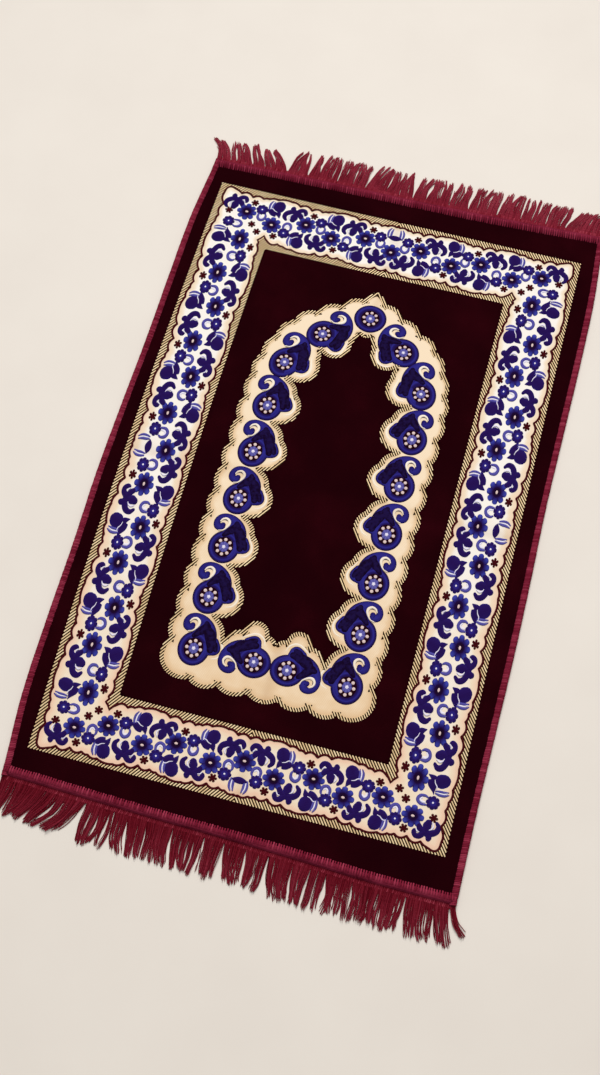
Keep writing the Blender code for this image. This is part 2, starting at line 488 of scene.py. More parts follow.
def between(before: Any, start: Any, end: Any, after: Any, part: Any) -> Any:
    """A smooth line from start to end at some parts of the way, which heeds the point beyond each."""
    bend = (2 * before - 5 * start + 4 * end - after) * part**2
    twist = (3 * start - before - 3 * end + after) * part**3
    return start + 0.5 * ((end - before) * part + bend + twist)


def smooth_through(points: Sequence[Row], steps: int) -> np.ndarray:
    """A smooth line through rows of numbers.

    Args:
        points: the rows, each a place and whatever else changes along the line, such as a half width.
        steps: how many steps to take from one row to the next.

    Returns:
        The line's rows, the first and last of the points among them.
    """
    table = np.asarray(points, float)
    padded = np.vstack([2 * table[0] - table[1], table, 2 * table[-1] - table[-2]])
    part = np.linspace(0, 1, steps, endpoint=False)[:, None]
    spans = zip(padded, padded[1:], padded[2:], padded[3:])
    return np.vstack([*(between(*rows_near, part) for rows_near in spans), table[-1:]])


def arc(start: Row, end: Row, bulge: float, steps: int) -> np.ndarray:
    """Points along an arc that bulges to the right of its chord by the given height, without its last one."""
    a, b = np.asarray(start, float), np.asarray(end, float)
    chord = b - a
    half = np.linalg.norm(chord) / 2
    ahead = chord / (2 * half)
    right = np.array([ahead[1], -ahead[0]])
    turn = 2 * math.atan2(bulge, half)
    angles = np.linspace(-turn, turn, steps, endpoint=False)[:, None]
    if abs(turn) < 1e-6:
        return a + chord * np.linspace(0, 1, steps, endpoint=False)[:, None]
    radius = half / math.sin(turn)
    return (a + b) / 2 + ahead * radius * np.sin(angles) + right * radius * (np.cos(angles) - math.cos(turn))


def directions(line: np.ndarray) -> tuple[np.ndarray, np.ndarray]:
    """The unit directions ahead and to the left at each point of a flat line."""
    ahead = np.gradient(line[:, :2], axis=0)
    ahead /= np.linalg.norm(ahead, axis=1, keepdims=True)
    return ahead, np.column_stack([-ahead[:, 1], ahead[:, 0]])


def inside(points: np.ndarray, loops: Sequence[np.ndarray]) -> np.ndarray:
    """Which points lie inside an odd number of the loops."""
    starts = np.vstack(loops)
    ends = np.vstack([np.roll(loop, -1, axis=0) for loop in loops])
    found = np.zeros(len(points), bool)
    span = 2000
    for first in range(0, len(points), span):
        x, y = points[first : first + span, 0:1], points[first : first + span, 1:2]
        crosses = (starts[:, 1] > y) != (ends[:, 1] > y)
        rise = np.where(ends[:, 1] == starts[:, 1], 1.0, ends[:, 1] - starts[:, 1])
        at = starts[:, 0] + (y - starts[:, 1]) / rise * (ends[:, 0] - starts[:, 0])
        found[first : first + span] = ((crosses & (x < at)).sum(axis=1) % 2) == 1
    return found


@dataclass
class Form:
    """A mesh in the making: its points, its faces, and each point's shade."""

    points: np.ndarray
    faces: list[tuple[int, ...]]
    shade: np.ndarray

    def flipped(self) -> Form:
        """Its mirror image across the X axis, with its faces turned back outwards."""
        return Form(self.points * (1, -1, 1), [face[::-1] for face in self.faces], self.shade)

    def moved(self, x: float, y: float) -> Form:
        """A copy somewhere else."""
        return Form(self.points + (x, y, 0.0), self.faces, self.shade)

    def as_object(self, name: str, finish: Finish | None = None, sharp: float = 60.0) -> Thing:
        """Makes the object.

        Args:
            name: the object's name.
            finish: what it is made of.
            sharp: the least angle in degrees between two faces that makes their edge sharp.

        Returns:
            The object, linked to the scene.
        """
        mesh = bpy.data.meshes.new(name)
        mesh.from_pydata(self.points.tolist(), [], self.faces)
        carry(mesh, "shade", self.shade)
        mesh.shade_smooth()
        mesh.set_sharp_from_angle(angle=math.radians(sharp))
        if finish:
            mesh.materials.append(finish.material())
        return placed(name, mesh)


def bands(rows_of_points: int, around: int) -> list[tuple[int, ...]]:
    """The faces between rows of points, each row a closed ring."""
    faces = []
    for first in range(0, (rows_of_points - 1) * around, around):
        for i in range(around):
            a, b = first + i, first + (i + 1) % around
            faces.append((a, b, b + around, a + around))
    return faces


def joined(forms: Iterable[Form]) -> Form:
    """One form that holds all the others."""
    points, faces, shade, count = [], [], [], 0
    for form in forms:
        points.append(form.points)
        shade.append(form.shade)
        faces += [tuple(corner + count for corner in face) for face in form.faces]
        count += len(form.points)
    return Form(np.vstack(points), faces, np.concatenate(shade))


def patch(loops: Sequence[np.ndarray], low: float, high: float, drop: float, spacing: float, rim: float,
          fade: float = 0.0) -> Form:
    """A flat closed area with rounded-down rims, such as a stretch of pile.

    Args:
        loops: its outline and the outlines of its holes, and of areas inside those.
        low: the height of its underside.
        high: the height of its top.
        drop: how far its top falls at the rims.
        spacing: the distance between its inner points.
        rim: how far in from the rims its top reaches full height.
        fade: how far in from the rims its shade goes on rising.

    Returns:
        The form. Its shade is a half, and less at the rims, or with a fade it rises from 0 there to 1.
    """
    edge = np.vstack(loops)
    tree = KDTree(len(edge))
    for number, (x, y) in enumerate(edge):
        tree.insert((x, y, 0), number)
    tree.balance()
    nearest, farthest = edge.min(axis=0), edge.max(axis=0)
    column = np.arange(nearest[0], farthest[0], spacing)
    row = np.arange(nearest[1], farthest[1], spacing * math.sqrt(0.75))
    x, y = np.meshgrid(column, row)
    x = x + (np.arange(len(row)) % 2)[:, None] * spacing / 2
    grid = np.column_stack([x.ravel(), y.ravel()])
    shoulders = []
    for loop in loops:
        _, left = directions(np.vstack([loop[-1:], loop, loop[:1]]))
        shoulders += [loop + left[1:-1] * rim, loop - left[1:-1] * rim]
    shoulder = np.vstack(shoulders)[::2]
    inner = []
    for points, room in ((shoulder, 0.8 * rim), (grid, rim + 0.4 * spacing)):
        points = points[inside(points, loops)]
        clear = [tree.find((px, py, 0))[2] > room for px, py in points]
        inner.append(points[np.array(clear, bool)])
    flat = np.vstack([edge, *inner])
    sides, first = [], 0
    for loop in loops:
        numbers = np.arange(len(loop)) + first
        sides += zip(numbers.tolist(), np.roll(numbers, -1).tolist())
        first += len(loop)
    found = delaunay_2d_cdt([Vector(p) for p in flat.tolist()], sides, [], 0, 1e-7)
    flat = np.array([tuple(p) for p in found[0]])
    corners = np.array([tuple(face) for face in found[2]])
    corners = corners[inside(flat[corners].mean(axis=1), loops)]
    turned = np.cross(flat[corners[:, 1]] - flat[corners[:, 0]], flat[corners[:, 2]] - flat[corners[:, 0]])
    corners[turned < 0] = corners[turned < 0][:, ::-1]
    used, corners = np.unique(corners, return_inverse=True)
    corners = corners.reshape(-1, 3)
    flat = flat[used]
    one_way = {tuple(side) for pair in ([0, 1], [1, 2], [2, 0]) for side in corners[:, pair].tolist()}
    border = [(a, b) for a, b in one_way if (b, a) not in one_way]
    on_rim = np.zeros(len(flat), bool)
    on_rim[[a for a, _ in border]] = True
    top = np.column_stack([flat, np.where(on_rim, high - drop, high)])
    bottom = np.column_stack([flat, np.full(len(flat), low)])
    count = len(flat)
    faces = [tuple(face) for face in corners.tolist()]
    faces += [tuple(corner + count for corner in face[::-1]) for face in corners.tolist()]
    faces += [(a + count, b + count, b, a) for a, b in border]
    shade = np.where(on_rim, 0.35, 0.5)
    if fade:
        away = np.array([tree.find((x, y, 0))[2] for x, y in flat.tolist()])
        shade = np.where(on_rim, 0.0, np.clip(away / fade, 0.0, 1.0))
    return Form(np.vstack([top, bottom]), faces, np.tile(shade, 2))


ACROSS = np.array([-1.0, -0.74, 0.0, 0.74, 1.0])
RISE = np.array([0.0, 0.8, 1.0, 0.8, 0.0])
CAP_ANGLES = np.radians([78.0, 48.0, 20.0])


def stroke(route: Sequence[Row], height: float, base: float = 0.0, steps: int = 4) -> Form:
    """A rounded ridge of pile along a smooth line, with round ends, such as a scroll or a leaf.

    Args:
        route: rows of x, y and half width in millimetres.
        height: how high its crest stands over its base.
        base: the height of its underside.
        steps: how many sections it has from one row to the next.

    Returns:
        The form. Its shade is 0 at its rims and 1 along its crest.
    """
    line = smooth_through(np.asarray(route, float) * MM, steps)
    ahead, _ = directions(line)
    start, end = line[0], line[-1]
    caps = []
    for tip, way in ((start, -ahead[0]), (end, ahead[-1])):
        round_it = [(*(tip[:2] + way * tip[2] * math.sin(a)), tip[2] * math.cos(a)) for a in CAP_ANGLES]
        caps.append(np.array(round_it))
    line = np.vstack([caps[0], line, caps[1][::-1]])
    _, left = directions(line)
    half = line[:, 2]
    widest = np.maximum(half.max(), 1e-6)
    lifted = height * np.sqrt(np.clip(half / (0.6 * widest), 0.0, 1.0))
    count, wide = len(line), len(ACROSS)
    points = np.zeros((count, wide, 3))
    points[:, :, :2] = line[:, None, :2] - left[:, None] * (ACROSS[None, :] * half[:, None])[:, :, None]
    points[:, :, 2] = base + RISE[None, :] * lifted[:, None]
    faces = []
    for i in range(count - 1):
        for j in range(wide - 1):
            a = i * wide + j
            faces.append((a, a + 1, a + wide + 1, a + wide))
        a = i * wide
        faces.append((a + wide, a + 2 * wide - 1, a + wide - 1, a))
    faces.append(tuple(range(wide))[::-1])
    faces.append(tuple(range((count - 1) * wide, count * wide)))
    # The shade rises from a motif's darker woven rim to its crest, which most finishes draw lighter: a painted
    # highlight.
    shade = np.tile(RISE, count) * np.repeat(np.clip(lifted / height, 0.3, 1.0), wide)
    return Form(points.reshape(-1, 3), faces, shade)


@dataclass(frozen=True)
class Rosette:
    """A round motif of pile seen from above, such as a flower, a bead or a disc, in millimetres.

    Its rings run from the rim inwards, each with its share of the radius, of the height, and its shade.
    """

    radius_x: float
    radius_y: float
    petals: int = 1
    notch: float = 0.0
    rings: tuple[Row, ...] = ((1.0, 0.0, 0.3), (0.9, 0.75, 0.7), (0.5, 1.0, 1.0), (0.0, 1.0, 1.0))
    steps: int = 6

    def form(self, height: float, base: float = 0.0) -> Form:
        """Builds it round the origin.

        Args:
            height: how high its crown stands over its base.
            base: the height of its underside.

        Returns:
            The form, closed below.
        """
        count = self.petals * self.steps if self.petals > 1 else 3 * self.steps
        angle = np.arange(count) * math.tau / count
        lobe = np.abs(np.cos(self.petals * angle / 2)) ** 0.5 if self.petals > 1 else np.ones(count)
        points, shade = [], []
        for share, rise, light in self.rings[:-1]:
            reach = share * (1 - self.notch * (1 - lobe) * min(1.0, share * 1.1))
            x = reach * np.cos(angle) * self.radius_x * MM
            y = reach * np.sin(angle) * self.radius_y * MM
            points.append(np.column_stack([x, y, np.full(count, base + rise * height)]))
            shade.append(light - 0.7 * (1 - lobe) * light * min(1.0, 1.2 * share) * bool(self.notch))
        _, rise, light = self.rings[-1]
        points.append(np.array([(0, 0, base + rise * height), (0, 0, base)]))
        shade.append(np.array([light, 0.0]))
        faces = bands(len(self.rings) - 1, count)
        top = (len(self.rings) - 1) * count
        for i in range(count):
            a, b = i, (i + 1) % count
            faces.append((top - count + a, top - count + b, top))
            faces.append((b, a, top + 1))
        return Form(np.vstack(points), faces, np.concatenate(shade))


# ------------------------------------------------------------------------------
# Geometry Nodes


class Grower:
    """A Geometry Nodes tree with named inputs, which grows something on an object and then is gone."""

    def __init__(self, name: str, inputs: Sequence[tuple[str, str]]) -> None:
        """Starts the tree.

        Args:
            name: the tree's name.
            inputs: the name and the socket type of each input after the geometry.
        """
        self.tree = bpy.data.node_groups.new(name, "GeometryNodeTree")
        self.tree.interface.new_socket("Geometry", in_out="INPUT", socket_type="NodeSocketGeometry")
        for label, kind in (*inputs, ("Material", "NodeSocketMaterial")):
            self.tree.interface.new_socket(label, in_out="INPUT", socket_type=kind)
        self.tree.interface.new_socket("Geometry", in_out="OUTPUT", socket_type="NodeSocketGeometry")
        self.start = self.add("NodeGroupInput")

    def add(self, kind: str, inputs: dict | None = None, **settings: Any) -> bpy.types.Node:
        """Adds a node to the tree."""
        return add_node(self.tree, kind, inputs, **settings)

    def calc(self, operation: str, *values: Any) -> Socket:
        """One step of arithmetic in the tree."""
        return calc(self.tree, operation, *values)

    def given(self, label: str) -> Socket:
        """One of the tree's named inputs."""
        return self.start.outputs[label]

    def carried(self, name: str, kind: str = "FLOAT") -> Socket:
        """A number or a vector that the object's points carry."""
        found = self.add("GeometryNodeInputNamedAttribute", {"Name": name}, data_type=kind)
        return output(found, "Attribute")

    def stray(self, amount: Any, seed: int, middle: float = 0.0) -> Socket:
        """A random number for each point, round a middle one, up to an amount either way."""
        seeds = self.calc("ADD", self.given("Seed"), float(seed))
        any_number = self.add("FunctionNodeRandomValue", {"Min": -1.0, "Max": 1.0, "Seed": seeds})
        return self.calc("MULTIPLY_ADD", output(any_number, "Value"), amount, middle)

    def kept(self, geometry: Socket, name: str, value: Socket, domain: str = "POINT") -> Socket:
        """The geometry with a number for each of its points or instances under a name."""
        inputs = {"Geometry": geometry, "Name": name, "Value": value}
        return output(self.add("GeometryNodeStoreNamedAttribute", inputs, data_type="FLOAT", domain=domain))

    def turned(self, slant: Any) -> Socket:
        """The rotation about Z by an angle, with the tree's unevenness."""
        lean = self.calc("ADD", self.stray(self.given("Unevenness"), 1), slant)
        angles = self.add("ShaderNodeCombineXYZ", {"Z": lean})
        return output(self.add("FunctionNodeEulerToRotation", {"Euler": output(angles)}))

    def set_down(self, what: str, points: Socket, rotation: Socket, scale: Socket) -> None:
        """Sets a given object down at points, each copy with its own tone, and closes the tree."""
        motif = self.add("GeometryNodeObjectInfo", {"Object": self.given(what), "As Instance": True})
        copies = self.add("GeometryNodeInstanceOnPoints", {
            "Points": points,
            "Instance": output(motif, "Geometry"),
            "Rotation": rotation,
            "Scale": scale,
        })
        self.end(self.kept(output(copies), "tone", self.stray(0.5, 7, middle=0.5), "INSTANCE"))

    def end(self, geometry: Socket) -> None:
        """Closes the tree with real geometry in its material."""
        real = self.add("GeometryNodeRealizeInstances", {"Geometry": geometry})
        inputs = {"Geometry": output(real), "Material": self.given("Material")}
        dressed = self.add("GeometryNodeSetMaterial", inputs)
        self.add("NodeGroupOutput", {"Geometry": output(dressed)})

    def grow(self, source: Thing, finish: Finish, sharp: float | None = None, **inputs: Any) -> Thing:
        """Runs the tree on an object and turns what it grows into a plain mesh.

        Args:
            source: the object that it grows on, which is removed.
            finish: what the result is made of.
            sharp: the least angle in degrees that makes an edge sharp, or nothing to keep the tree's shading.
            inputs: a value for each named input, with underscores for its spaces.

        Returns:
            The new object, with the source's name.
        """
        modifier = source.modifiers.new("grow", "NODES")
        modifier.node_group = self.tree
        values = {name.replace("_", " "): value for name, value in inputs.items()}
        values["Material"] = finish.material()
        for item in self.tree.interface.items_tree:
            if item.in_out == "INPUT" and item.name in values:
                modifier[item.identifier] = values[item.name]
        graph = bpy.context.evaluated_depsgraph_get()
        mesh = bpy.data.meshes.new_from_object(source.evaluated_get(graph), depsgraph=graph)
        name = source.name
        drop(source)
        mesh.name = name
        if sharp is not None:
            mesh.shade_smooth()
            mesh.set_sharp_from_angle(angle=math.radians(sharp))
        return placed(name, mesh)


def drop(obj: Thing) -> None:
    """Removes an object and its mesh."""
    data = obj.data
    bpy.data.objects.remove(obj, do_unlink=True)
    bpy.data.meshes.remove(data)


class Scatter(Grower):
    """Sets one motif down at each of a list of places, turned and stretched as each says."""

    def __init__(self) -> None:
        """Builds the tree."""
        super().__init__("scatter_motifs", (
            ("Motif", "NodeSocketObject"),
            ("Unevenness", "NodeSocketFloat"),
            ("Seed", "NodeSocketInt"),
        ))
        size = self.stray(self.given("Unevenness"), 2, middle=1.0)
        stretch = self.carried("stretch", "FLOAT_VECTOR")
        scale = self.add("ShaderNodeVectorMath", {0: stretch, "Scale": size}, operation="SCALE")
        self.set_down("Motif", self.given("Geometry"), self.turned(self.carried("turn")), output(scale))


class LayAlong(Grower):
    """Lays one stitch after another along lines, each turned to its line and as long as its place says."""

    def __init__(self) -> None:
        """Builds the tree."""
        super().__init__("lay_stitches", (
            ("Stitch", "NodeSocketObject"),
            ("Pitch", "NodeSocketFloat"),
            ("Slant", "NodeSocketFloat"),
            ("Unevenness", "NodeSocketFloat"),
            ("Seed", "NodeSocketInt"),
        ))
        curve = self.add("GeometryNodeMeshToCurve", {"Mesh": self.given("Geometry")})
        inputs = {"Curve": output(curve), "Length": self.given("Pitch")}
        spaced = self.add("GeometryNodeResampleCurve", inputs, mode="LENGTH")
        along = {"Vector": output(self.add("GeometryNodeInputTangent"))}
        facing = self.add("FunctionNodeAlignRotationToVector", along, axis="X", pivot_axis="Z")
        inputs = {"Rotation": output(facing), "Rotate By": self.turned(self.given("Slant"))}
        rotation = self.add("FunctionNodeRotateRotation", inputs)
        width = self.stray(self.given("Unevenness"), 2, middle=1.0)
        length = self.calc("MULTIPLY", width, self.carried("reach"))
        scale = self.add("ShaderNodeCombineXYZ", {"X": length, "Y": width, "Z": 1.0})
        self.set_down("Stitch", output(spaced), output(rotation), output(scale))


class SpinStrands(Grower):
    """Turns lines into wavy strands of yarn."""

    def __init__(self) -> None:
        """Builds the tree."""
        super().__init__("spin_strands", (
            ("Waviness", "NodeSocketFloat"),
            ("Wave length", "NodeSocketFloat"),
            ("Sides", "NodeSocketInt"),
            ("Seed", "NodeSocketInt"),
        ))
        curve = self.add("GeometryNodeMeshToCurve", {"Mesh": self.given("Geometry")})
        where = self.add("GeometryNodeSplineParameter")
        measured = self.kept(output(curve), "along", output(where, "Length"))
        pattern = {
            "W": self.calc("MULTIPLY", self.carried("tone"), 40.0),
            "Scale": self.calc("DIVIDE", 1.0, self.given("Wave length")),
            "Detail": 1.0,
        }
        sampled = self.add("ShaderNodeTexNoise", pattern, noise_dimensions="4D")
        inputs = {0: output(sampled, "Color"), 1: (0.5, 0.5, 0.5)}
        centred = self.add("ShaderNodeVectorMath", inputs, operation="SUBTRACT")
        # A strand waves more and more towards its loose end.
        freedom = self.calc("MULTIPLY", output(where, "Factor"), self.given("Waviness"))
        inputs = {0: output(centred), "Scale": freedom}
        offset = self.add("ShaderNodeVectorMath", inputs, operation="SCALE")
        inputs = {0: output(offset), 1: (1.0, 1.0, 0.25)}
        flat = self.add("ShaderNodeVectorMath", inputs, operation="MULTIPLY")
        waved = self.add("GeometryNodeSetPosition", {"Geometry": measured, "Offset": output(flat)})
        inputs = {"Radius": 1.0, "Resolution": self.given("Sides")}
        section = self.add("GeometryNodeCurvePrimitiveCircle", inputs)
        around = self.add("GeometryNodeSplineParameter")
        marked = self.kept(output(section, "Curve"), "round", output(around, "Factor"))
        solid = self.add("GeometryNodeCurveToMesh", {
            "Curve": output(waved),
            "Profile Curve": marked,
            "Scale": self.carried("thick"),
            "Fill Caps": True,
        })
        self.end(output(self.add("GeometryNodeSetShadeSmooth", {"Geometry": output(solid)})))


@dataclass
class Growers:
    """The three trees, made once."""

    scatter: Scatter = field(default_factory=Scatter)
    lay_along: LayAlong = field(default_factory=LayAlong)
    spin: SpinStrands = field(default_factory=SpinStrands)


def lines_object(name: str, lines: Sequence[np.ndarray], **numbers: Sequence[np.ndarray]) -> Thing:
    """An object of open lines whose points carry numbers.

    Args:
        name: the object's name.
        lines: for each line, its points, flat or in space.
        numbers: for each number, its values along each line.

    Returns:
        The object, with edges and no faces.
    """
    points, edges = [], []
    for line in lines:
        first = len(points)
        points += [(*point, 0.0)[:3] for point in line.tolist()]
        edges += [(i, i + 1) for i in range(first, len(points) - 1)]
    mesh = bpy.data.meshes.new(name)
    mesh.from_pydata(points, edges, [])
    for label, values in numbers.items():
        carry(mesh, label, np.concatenate(values))
    return placed(name, mesh)


# ------------------------------------------------------------------------------
# How the rug lies


@dataclass(frozen=True)
class Lie:
    """How the rug lies on the floor: two soft old folds, and a slow unevenness over the whole of it."""

    crease_depth: float = 0.8 * MM
    crease_width: float = 12 * MM
    cross_crease_y: float = -8 * MM
    length_crease_x: float = 3 * MM
    swell: float = 0.3 * MM
    # How the woven design has drawn in and bowed: its middle's x at y = 0, that x's slope and bend along y,
    # and how much narrower the cloth gets towards its ends.
    bow: tuple[float, float, float] = (-4.1 * MM, 3.0 * MM, 20 * MM)
    draw_in: float = 0.05

    def laid(self, points: np.ndarray) -> np.ndarray:
        """Where points of the design, as drawn on the loom, come to lie on the floor."""
        x, y = points[:, 0], points[:, 1]
        start, slope, bend = self.bow
        moved = points.copy()
        moved[:, 0] = x * (1 - self.draw_in * y**2) + start + slope * y + bend * y**2
        return moved

    def drawn(self, points: np.ndarray) -> np.ndarray:
        """Where points on the floor are in the design as drawn on the loom."""
        x, y = points[:, 0], points[:, 1]
        start, slope, bend = self.bow
        moved = points.copy()
        moved[:, 0] = (x - start - slope * y - bend * y**2) / (1 - self.draw_in * y**2)
        return moved

    def lift(self, x: np.ndarray, y: np.ndarray) -> np.ndarray:
        """How much higher or lower the rug's face lies at some places than its plain thickness."""
        wander = 2 * MM * np.sin(x * 23)
        cross = np.exp(-(((y - self.cross_crease_y - wander) / self.crease_width) ** 2))
        length = np.exp(-(((x - self.length_crease_x) / self.crease_width) ** 2))
        slow = np.sin(x * 21 + 1.3) * np.sin(y * 13 + 0.4) + 0.6 * np.sin(x * 9 - y * 17)
        return self.swell * slow - self.crease_depth * np.maximum(cross, 0.8 * length)

    def settle(self, obj: Thing) -> None:
        """Moves the points of an object of the design to where they come to lie."""
        mesh = obj.data
        points = np.empty(len(mesh.vertices) * 3, np.float32)
        mesh.vertices.foreach_get("co", points)
        points = self.laid(points.reshape(-1, 3))
        points[:, 2] += self.lift(points[:, 0], points[:, 1]) * np.clip(points[:, 2] / (2 * MM), 0.0, 1.0)
        mesh.vertices.foreach_set("co", points.ravel())
        mesh.update()


LIE = Lie()


@dataclass(frozen=True)
class Outline:
    """The rug's plan, the same as its solids': where its sides and ends run, in evenly spaced sections."""

    half_length: float = 0.54
    half_width: float = 0.33
    binding_width: float = 8.0 * MM
    heading_width: float = 11.5 * MM
    # y, left x, right x
    sides: tuple[Row, ...] = (
        (-0.54, -0.326, 0.331),
        (-0.42, -0.336, 0.331),
        (-0.30, -0.338, 0.333),
        (-0.18, -0.338, 0.335),
        (-0.06, -0.340, 0.335),
        (0.06, -0.338, 0.334),
        (0.18, -0.335, 0.336),
        (0.30, -0.334, 0.338),
        (0.42, -0.332, 0.338),
        (0.54, -0.323, 0.332),
    )
    # x, near y, far y
    ends: tuple[Row, ...] = (
        (-0.33, -0.545, 0.542),
        (-0.22, -0.548, 0.545),
        (-0.11, -0.551, 0.547),
        (0.00, -0.553, 0.548),
        (0.11, -0.556, 0.550),
        (0.22, -0.560, 0.554),
        (0.33, -0.560, 0.558),
    )

    @staticmethod
    def read(sections: Sequence[Row], column: int, places: np.ndarray) -> np.ndarray:
        """A column of a table of evenly spaced sections, on a smooth line through them, at some places."""
        table = np.asarray(sections)
        at = (places - table[0, 0]) / (table[1, 0] - table[0, 0])
        index = np.clip(np.floor(at).astype(int), 0, len(table) - 2)
        part = at - index
        values = table[:, column]
        before, after = values[np.maximum(index - 1, 0)], values[np.minimum(index + 2, len(table) - 1)]
        return between(before, values[index], values[index + 1], after, part)

    def plan(self, across: np.ndarray, along: np.ndarray, side_inset: float, end_inset: float) -> np.ndarray:
        """Points of the plan.

        Args:
            across: their shares from the left side, -1, to the right one, 1.
            along: their shares from the near end, -1, to the far one, 1.
            side_inset: how far in from the sides the plan is drawn.
            end_inset: how far in from the ends.

        Returns:
            Their x and y.
        """
        left = self.read(self.sides, 1, along * self.half_length) + side_inset
        right = self.read(self.sides, 2, along * self.half_length) - side_inset
        near = self.read(self.ends, 1, across * self.half_width) + end_inset
        far = self.read(self.ends, 2, across * self.half_width) - end_inset
        x = left + (right - left) * (across + 1) / 2
        return np.column_stack([x, near + (far - near) * (along + 1) / 2])

    def loop(self, side_inset: float, end_inset: float, steps: int = 90) -> np.ndarray:
        """The plan's whole outline, anticlockwise, drawn in by the insets."""
        share = np.linspace(-1, 1, steps, endpoint=False)
        one = np.ones(steps)
        edges = ((share, -one), (one, share), (-share, one), (-one, -share))
        return np.vstack([self.plan(across, along, side_inset, end_inset) for across, along in edges])


OUTLINE = Outline()


# ------------------------------------------------------------------------------
# The figured cloth


@dataclass(frozen=True)
class Levels:
    """The heights of the cloth's layers above the floor."""

    ground: float = 2.4 * MM
    layer: float = 2.45 * MM
    satin: float = 3.1 * MM
    pile: float = 4.0 * MM
    motif: float = 3.0 * MM
    motif_height: float = 0.95 * MM


LEVELS = Levels()


class Place(NamedTuple):
    """Where one motif lies: its point, its turn in radians and its stretch."""

    x: float
    y: float
    turn: float = 0.0
    stretch_x: float = 1.0
    stretch_y: float = 1.0


class Kind(Enum):
    """The floral border's motifs."""

    FLOWER = "flower"
    ROUND = "round_flower"
    WINE = "wine_flower"
    SPRIG = "sprig"
    BUD = "bud"
    HOOK = "hook"
    BLADES = "blades"
    LEAF = "leaf"


@dataclass(frozen=True)
class Figure:
    """One colour of one motif: what it is made of and how it is built, at the origin."""

    name: str
    finish: Finish
    form: Callable[[], Form]


def ridges(routes: Sequence[Sequence[Row]], height: float = LEVELS.motif_height, base: float = 0.0) -> Form:
    """Several strokes in one form, each standing a hair higher than the last where they cross."""
    step = 0.03 * MM
    return joined(stroke(route, height + step * number, base) for number, route in enumerate(routes))


# From the rim inwards: share of the radius, share of the height, shade.
FLOWER_RINGS = (
    (1.0, 0.0, 0.8), (0.93, 0.75, 1.0), (0.72, 1.0, 0.85), (0.5, 0.95, 0.5), (0.38, 0.85, 0.1),
    (0.0, 0.7, 0.0),
)
ROUND_RINGS = ((1.0, 0.0, 0.3), (0.9, 0.8, 0.8), (0.62, 1.0, 0.9), (0.4, 0.85, 0.2), (0.0, 0.7, 0.0))
STAR_RINGS = ((1.0, 0.0, 0.5), (0.85, 0.8, 0.9), (0.4, 1.0, 0.6), (0.0, 1.0, 0.5))
BEAD_RINGS = ((1.0, 0.0, 0.5), (0.7, 0.8, 1.0), (0.0, 1.0, 1.0))
DISC_RINGS = ((1.0, 0.0, 0.3), (0.92, 0.8, 0.5), (0.6, 1.0, 0.9), (0.0, 1.0, 0.6))

# Routes in millimetres: x runs along the border towards the middle of its side, y out of the border, and each
# row ends with the half width there.
SPRIG_ARCH = (
    (-13.5, -12, 2.6), (-17, -7, 3.8), (-15.5, 0, 4.6), (-9, 4.5, 5.2), (-1, 5.5, 5.6), (7, 2, 5.0),
    (11, -3, 4.0),
)
SPRIG_OVAL = ((-1, 0, 5.4), (-1, -5, 6.6), (-2, -9.5, 5.2))
SPRIG_LOBE = ((-4, 6, 3.6), (-6.5, 11, 4.6), (-6.5, 12.5, 4.2))
SPRIG_CURL = ((2.5, 7, 4.6), (7, 12, 4.4), (12.5, 12.5, 4.0), (15.5, 8.5, 3.6), (15, 6, 3.4))
SPRIG_SLIT = ((-7.5, -11, 0.7), (-9.6, -6, 1.2), (-8, -1.5, 1.0), (-5, 0.5, 0.5))
SPRIG_NOTCH = ((8.5, 6.5, 0.6), (11.5, 6, 0.9), (13.5, 3, 0.7))
BUD_BALL = ((-1.2, 10.5, 10.2), (-2.2, 8.0, 10.8))
BUD_LEAF = (
    (3.5, -11.6, 1.0), (0.5, -5, 4.8), (-3, -3.5, 8.2), (-8.5, -3.6, 7.8), (-14, -2.2, 5.0), (-19, -0.6, 1.9),
    (-22.5, 0.6, 0.7),
)
BUD_EDGE = ((-14.5, 3.2, 0.5), (-10.8, 2.6, 0.8), (-7, -0.5, 0.7), (-2.5, -2.0, 0.5))
LEAF = ((-11.5, 0, 1.0), (-7, 0.3, 3.8), (0, 0, 5.4), (7, 0.3, 3.8), (11.5, 0, 1.0))
HOOK_ARC = (
    (-6.6, 5.5, 1.7), (-6.6, -2.0, 2.3), (-1.8, -6.8, 2.7), (4.4, -4.2, 2.6), (6.0, 2.5, 2.0),
    (4.4, 6.5, 1.4),
)
HOOK_LIGHT = ((-3.4, 3.8, 1.2), (-3.2, -0.8, 1.6), (-0.4, -3.4, 1.5), (2.4, -1.0, 1.2))
BLADE_PAIR = (
    ((-0.5, 9.5, 0.9), (-3.4, 4, 1.7), (-3.8, -3, 1.8), (-2.6, -9.0, 1.2)),
    ((3.0, 8.6, 0.9), (1.8, 2.5, 1.7), (1.4, -4, 1.8), (0.6, -9.6, 1.1)),
)
BLADE_LIGHT = ((1.2, 7.5, 0.7), (-0.9, 2.5, 1.1), (-1.2, -3, 1.1), (-1.0, -8.0, 0.7))


def bead(radius_x: float, radius_y: float, height: float, base: float) -> Form:
    """A small oval bead of pile."""
    return Rosette(radius_x, radius_y, rings=BEAD_RINGS, steps=4).form(height, base)


def crown(radius: float, petals: int, notch: float, rings: tuple[Row, ...],
          height: float = LEVELS.motif_height) -> Form:
    """A round flower of pile."""
    return Rosette(radius, radius, petals, notch, rings).form(height)


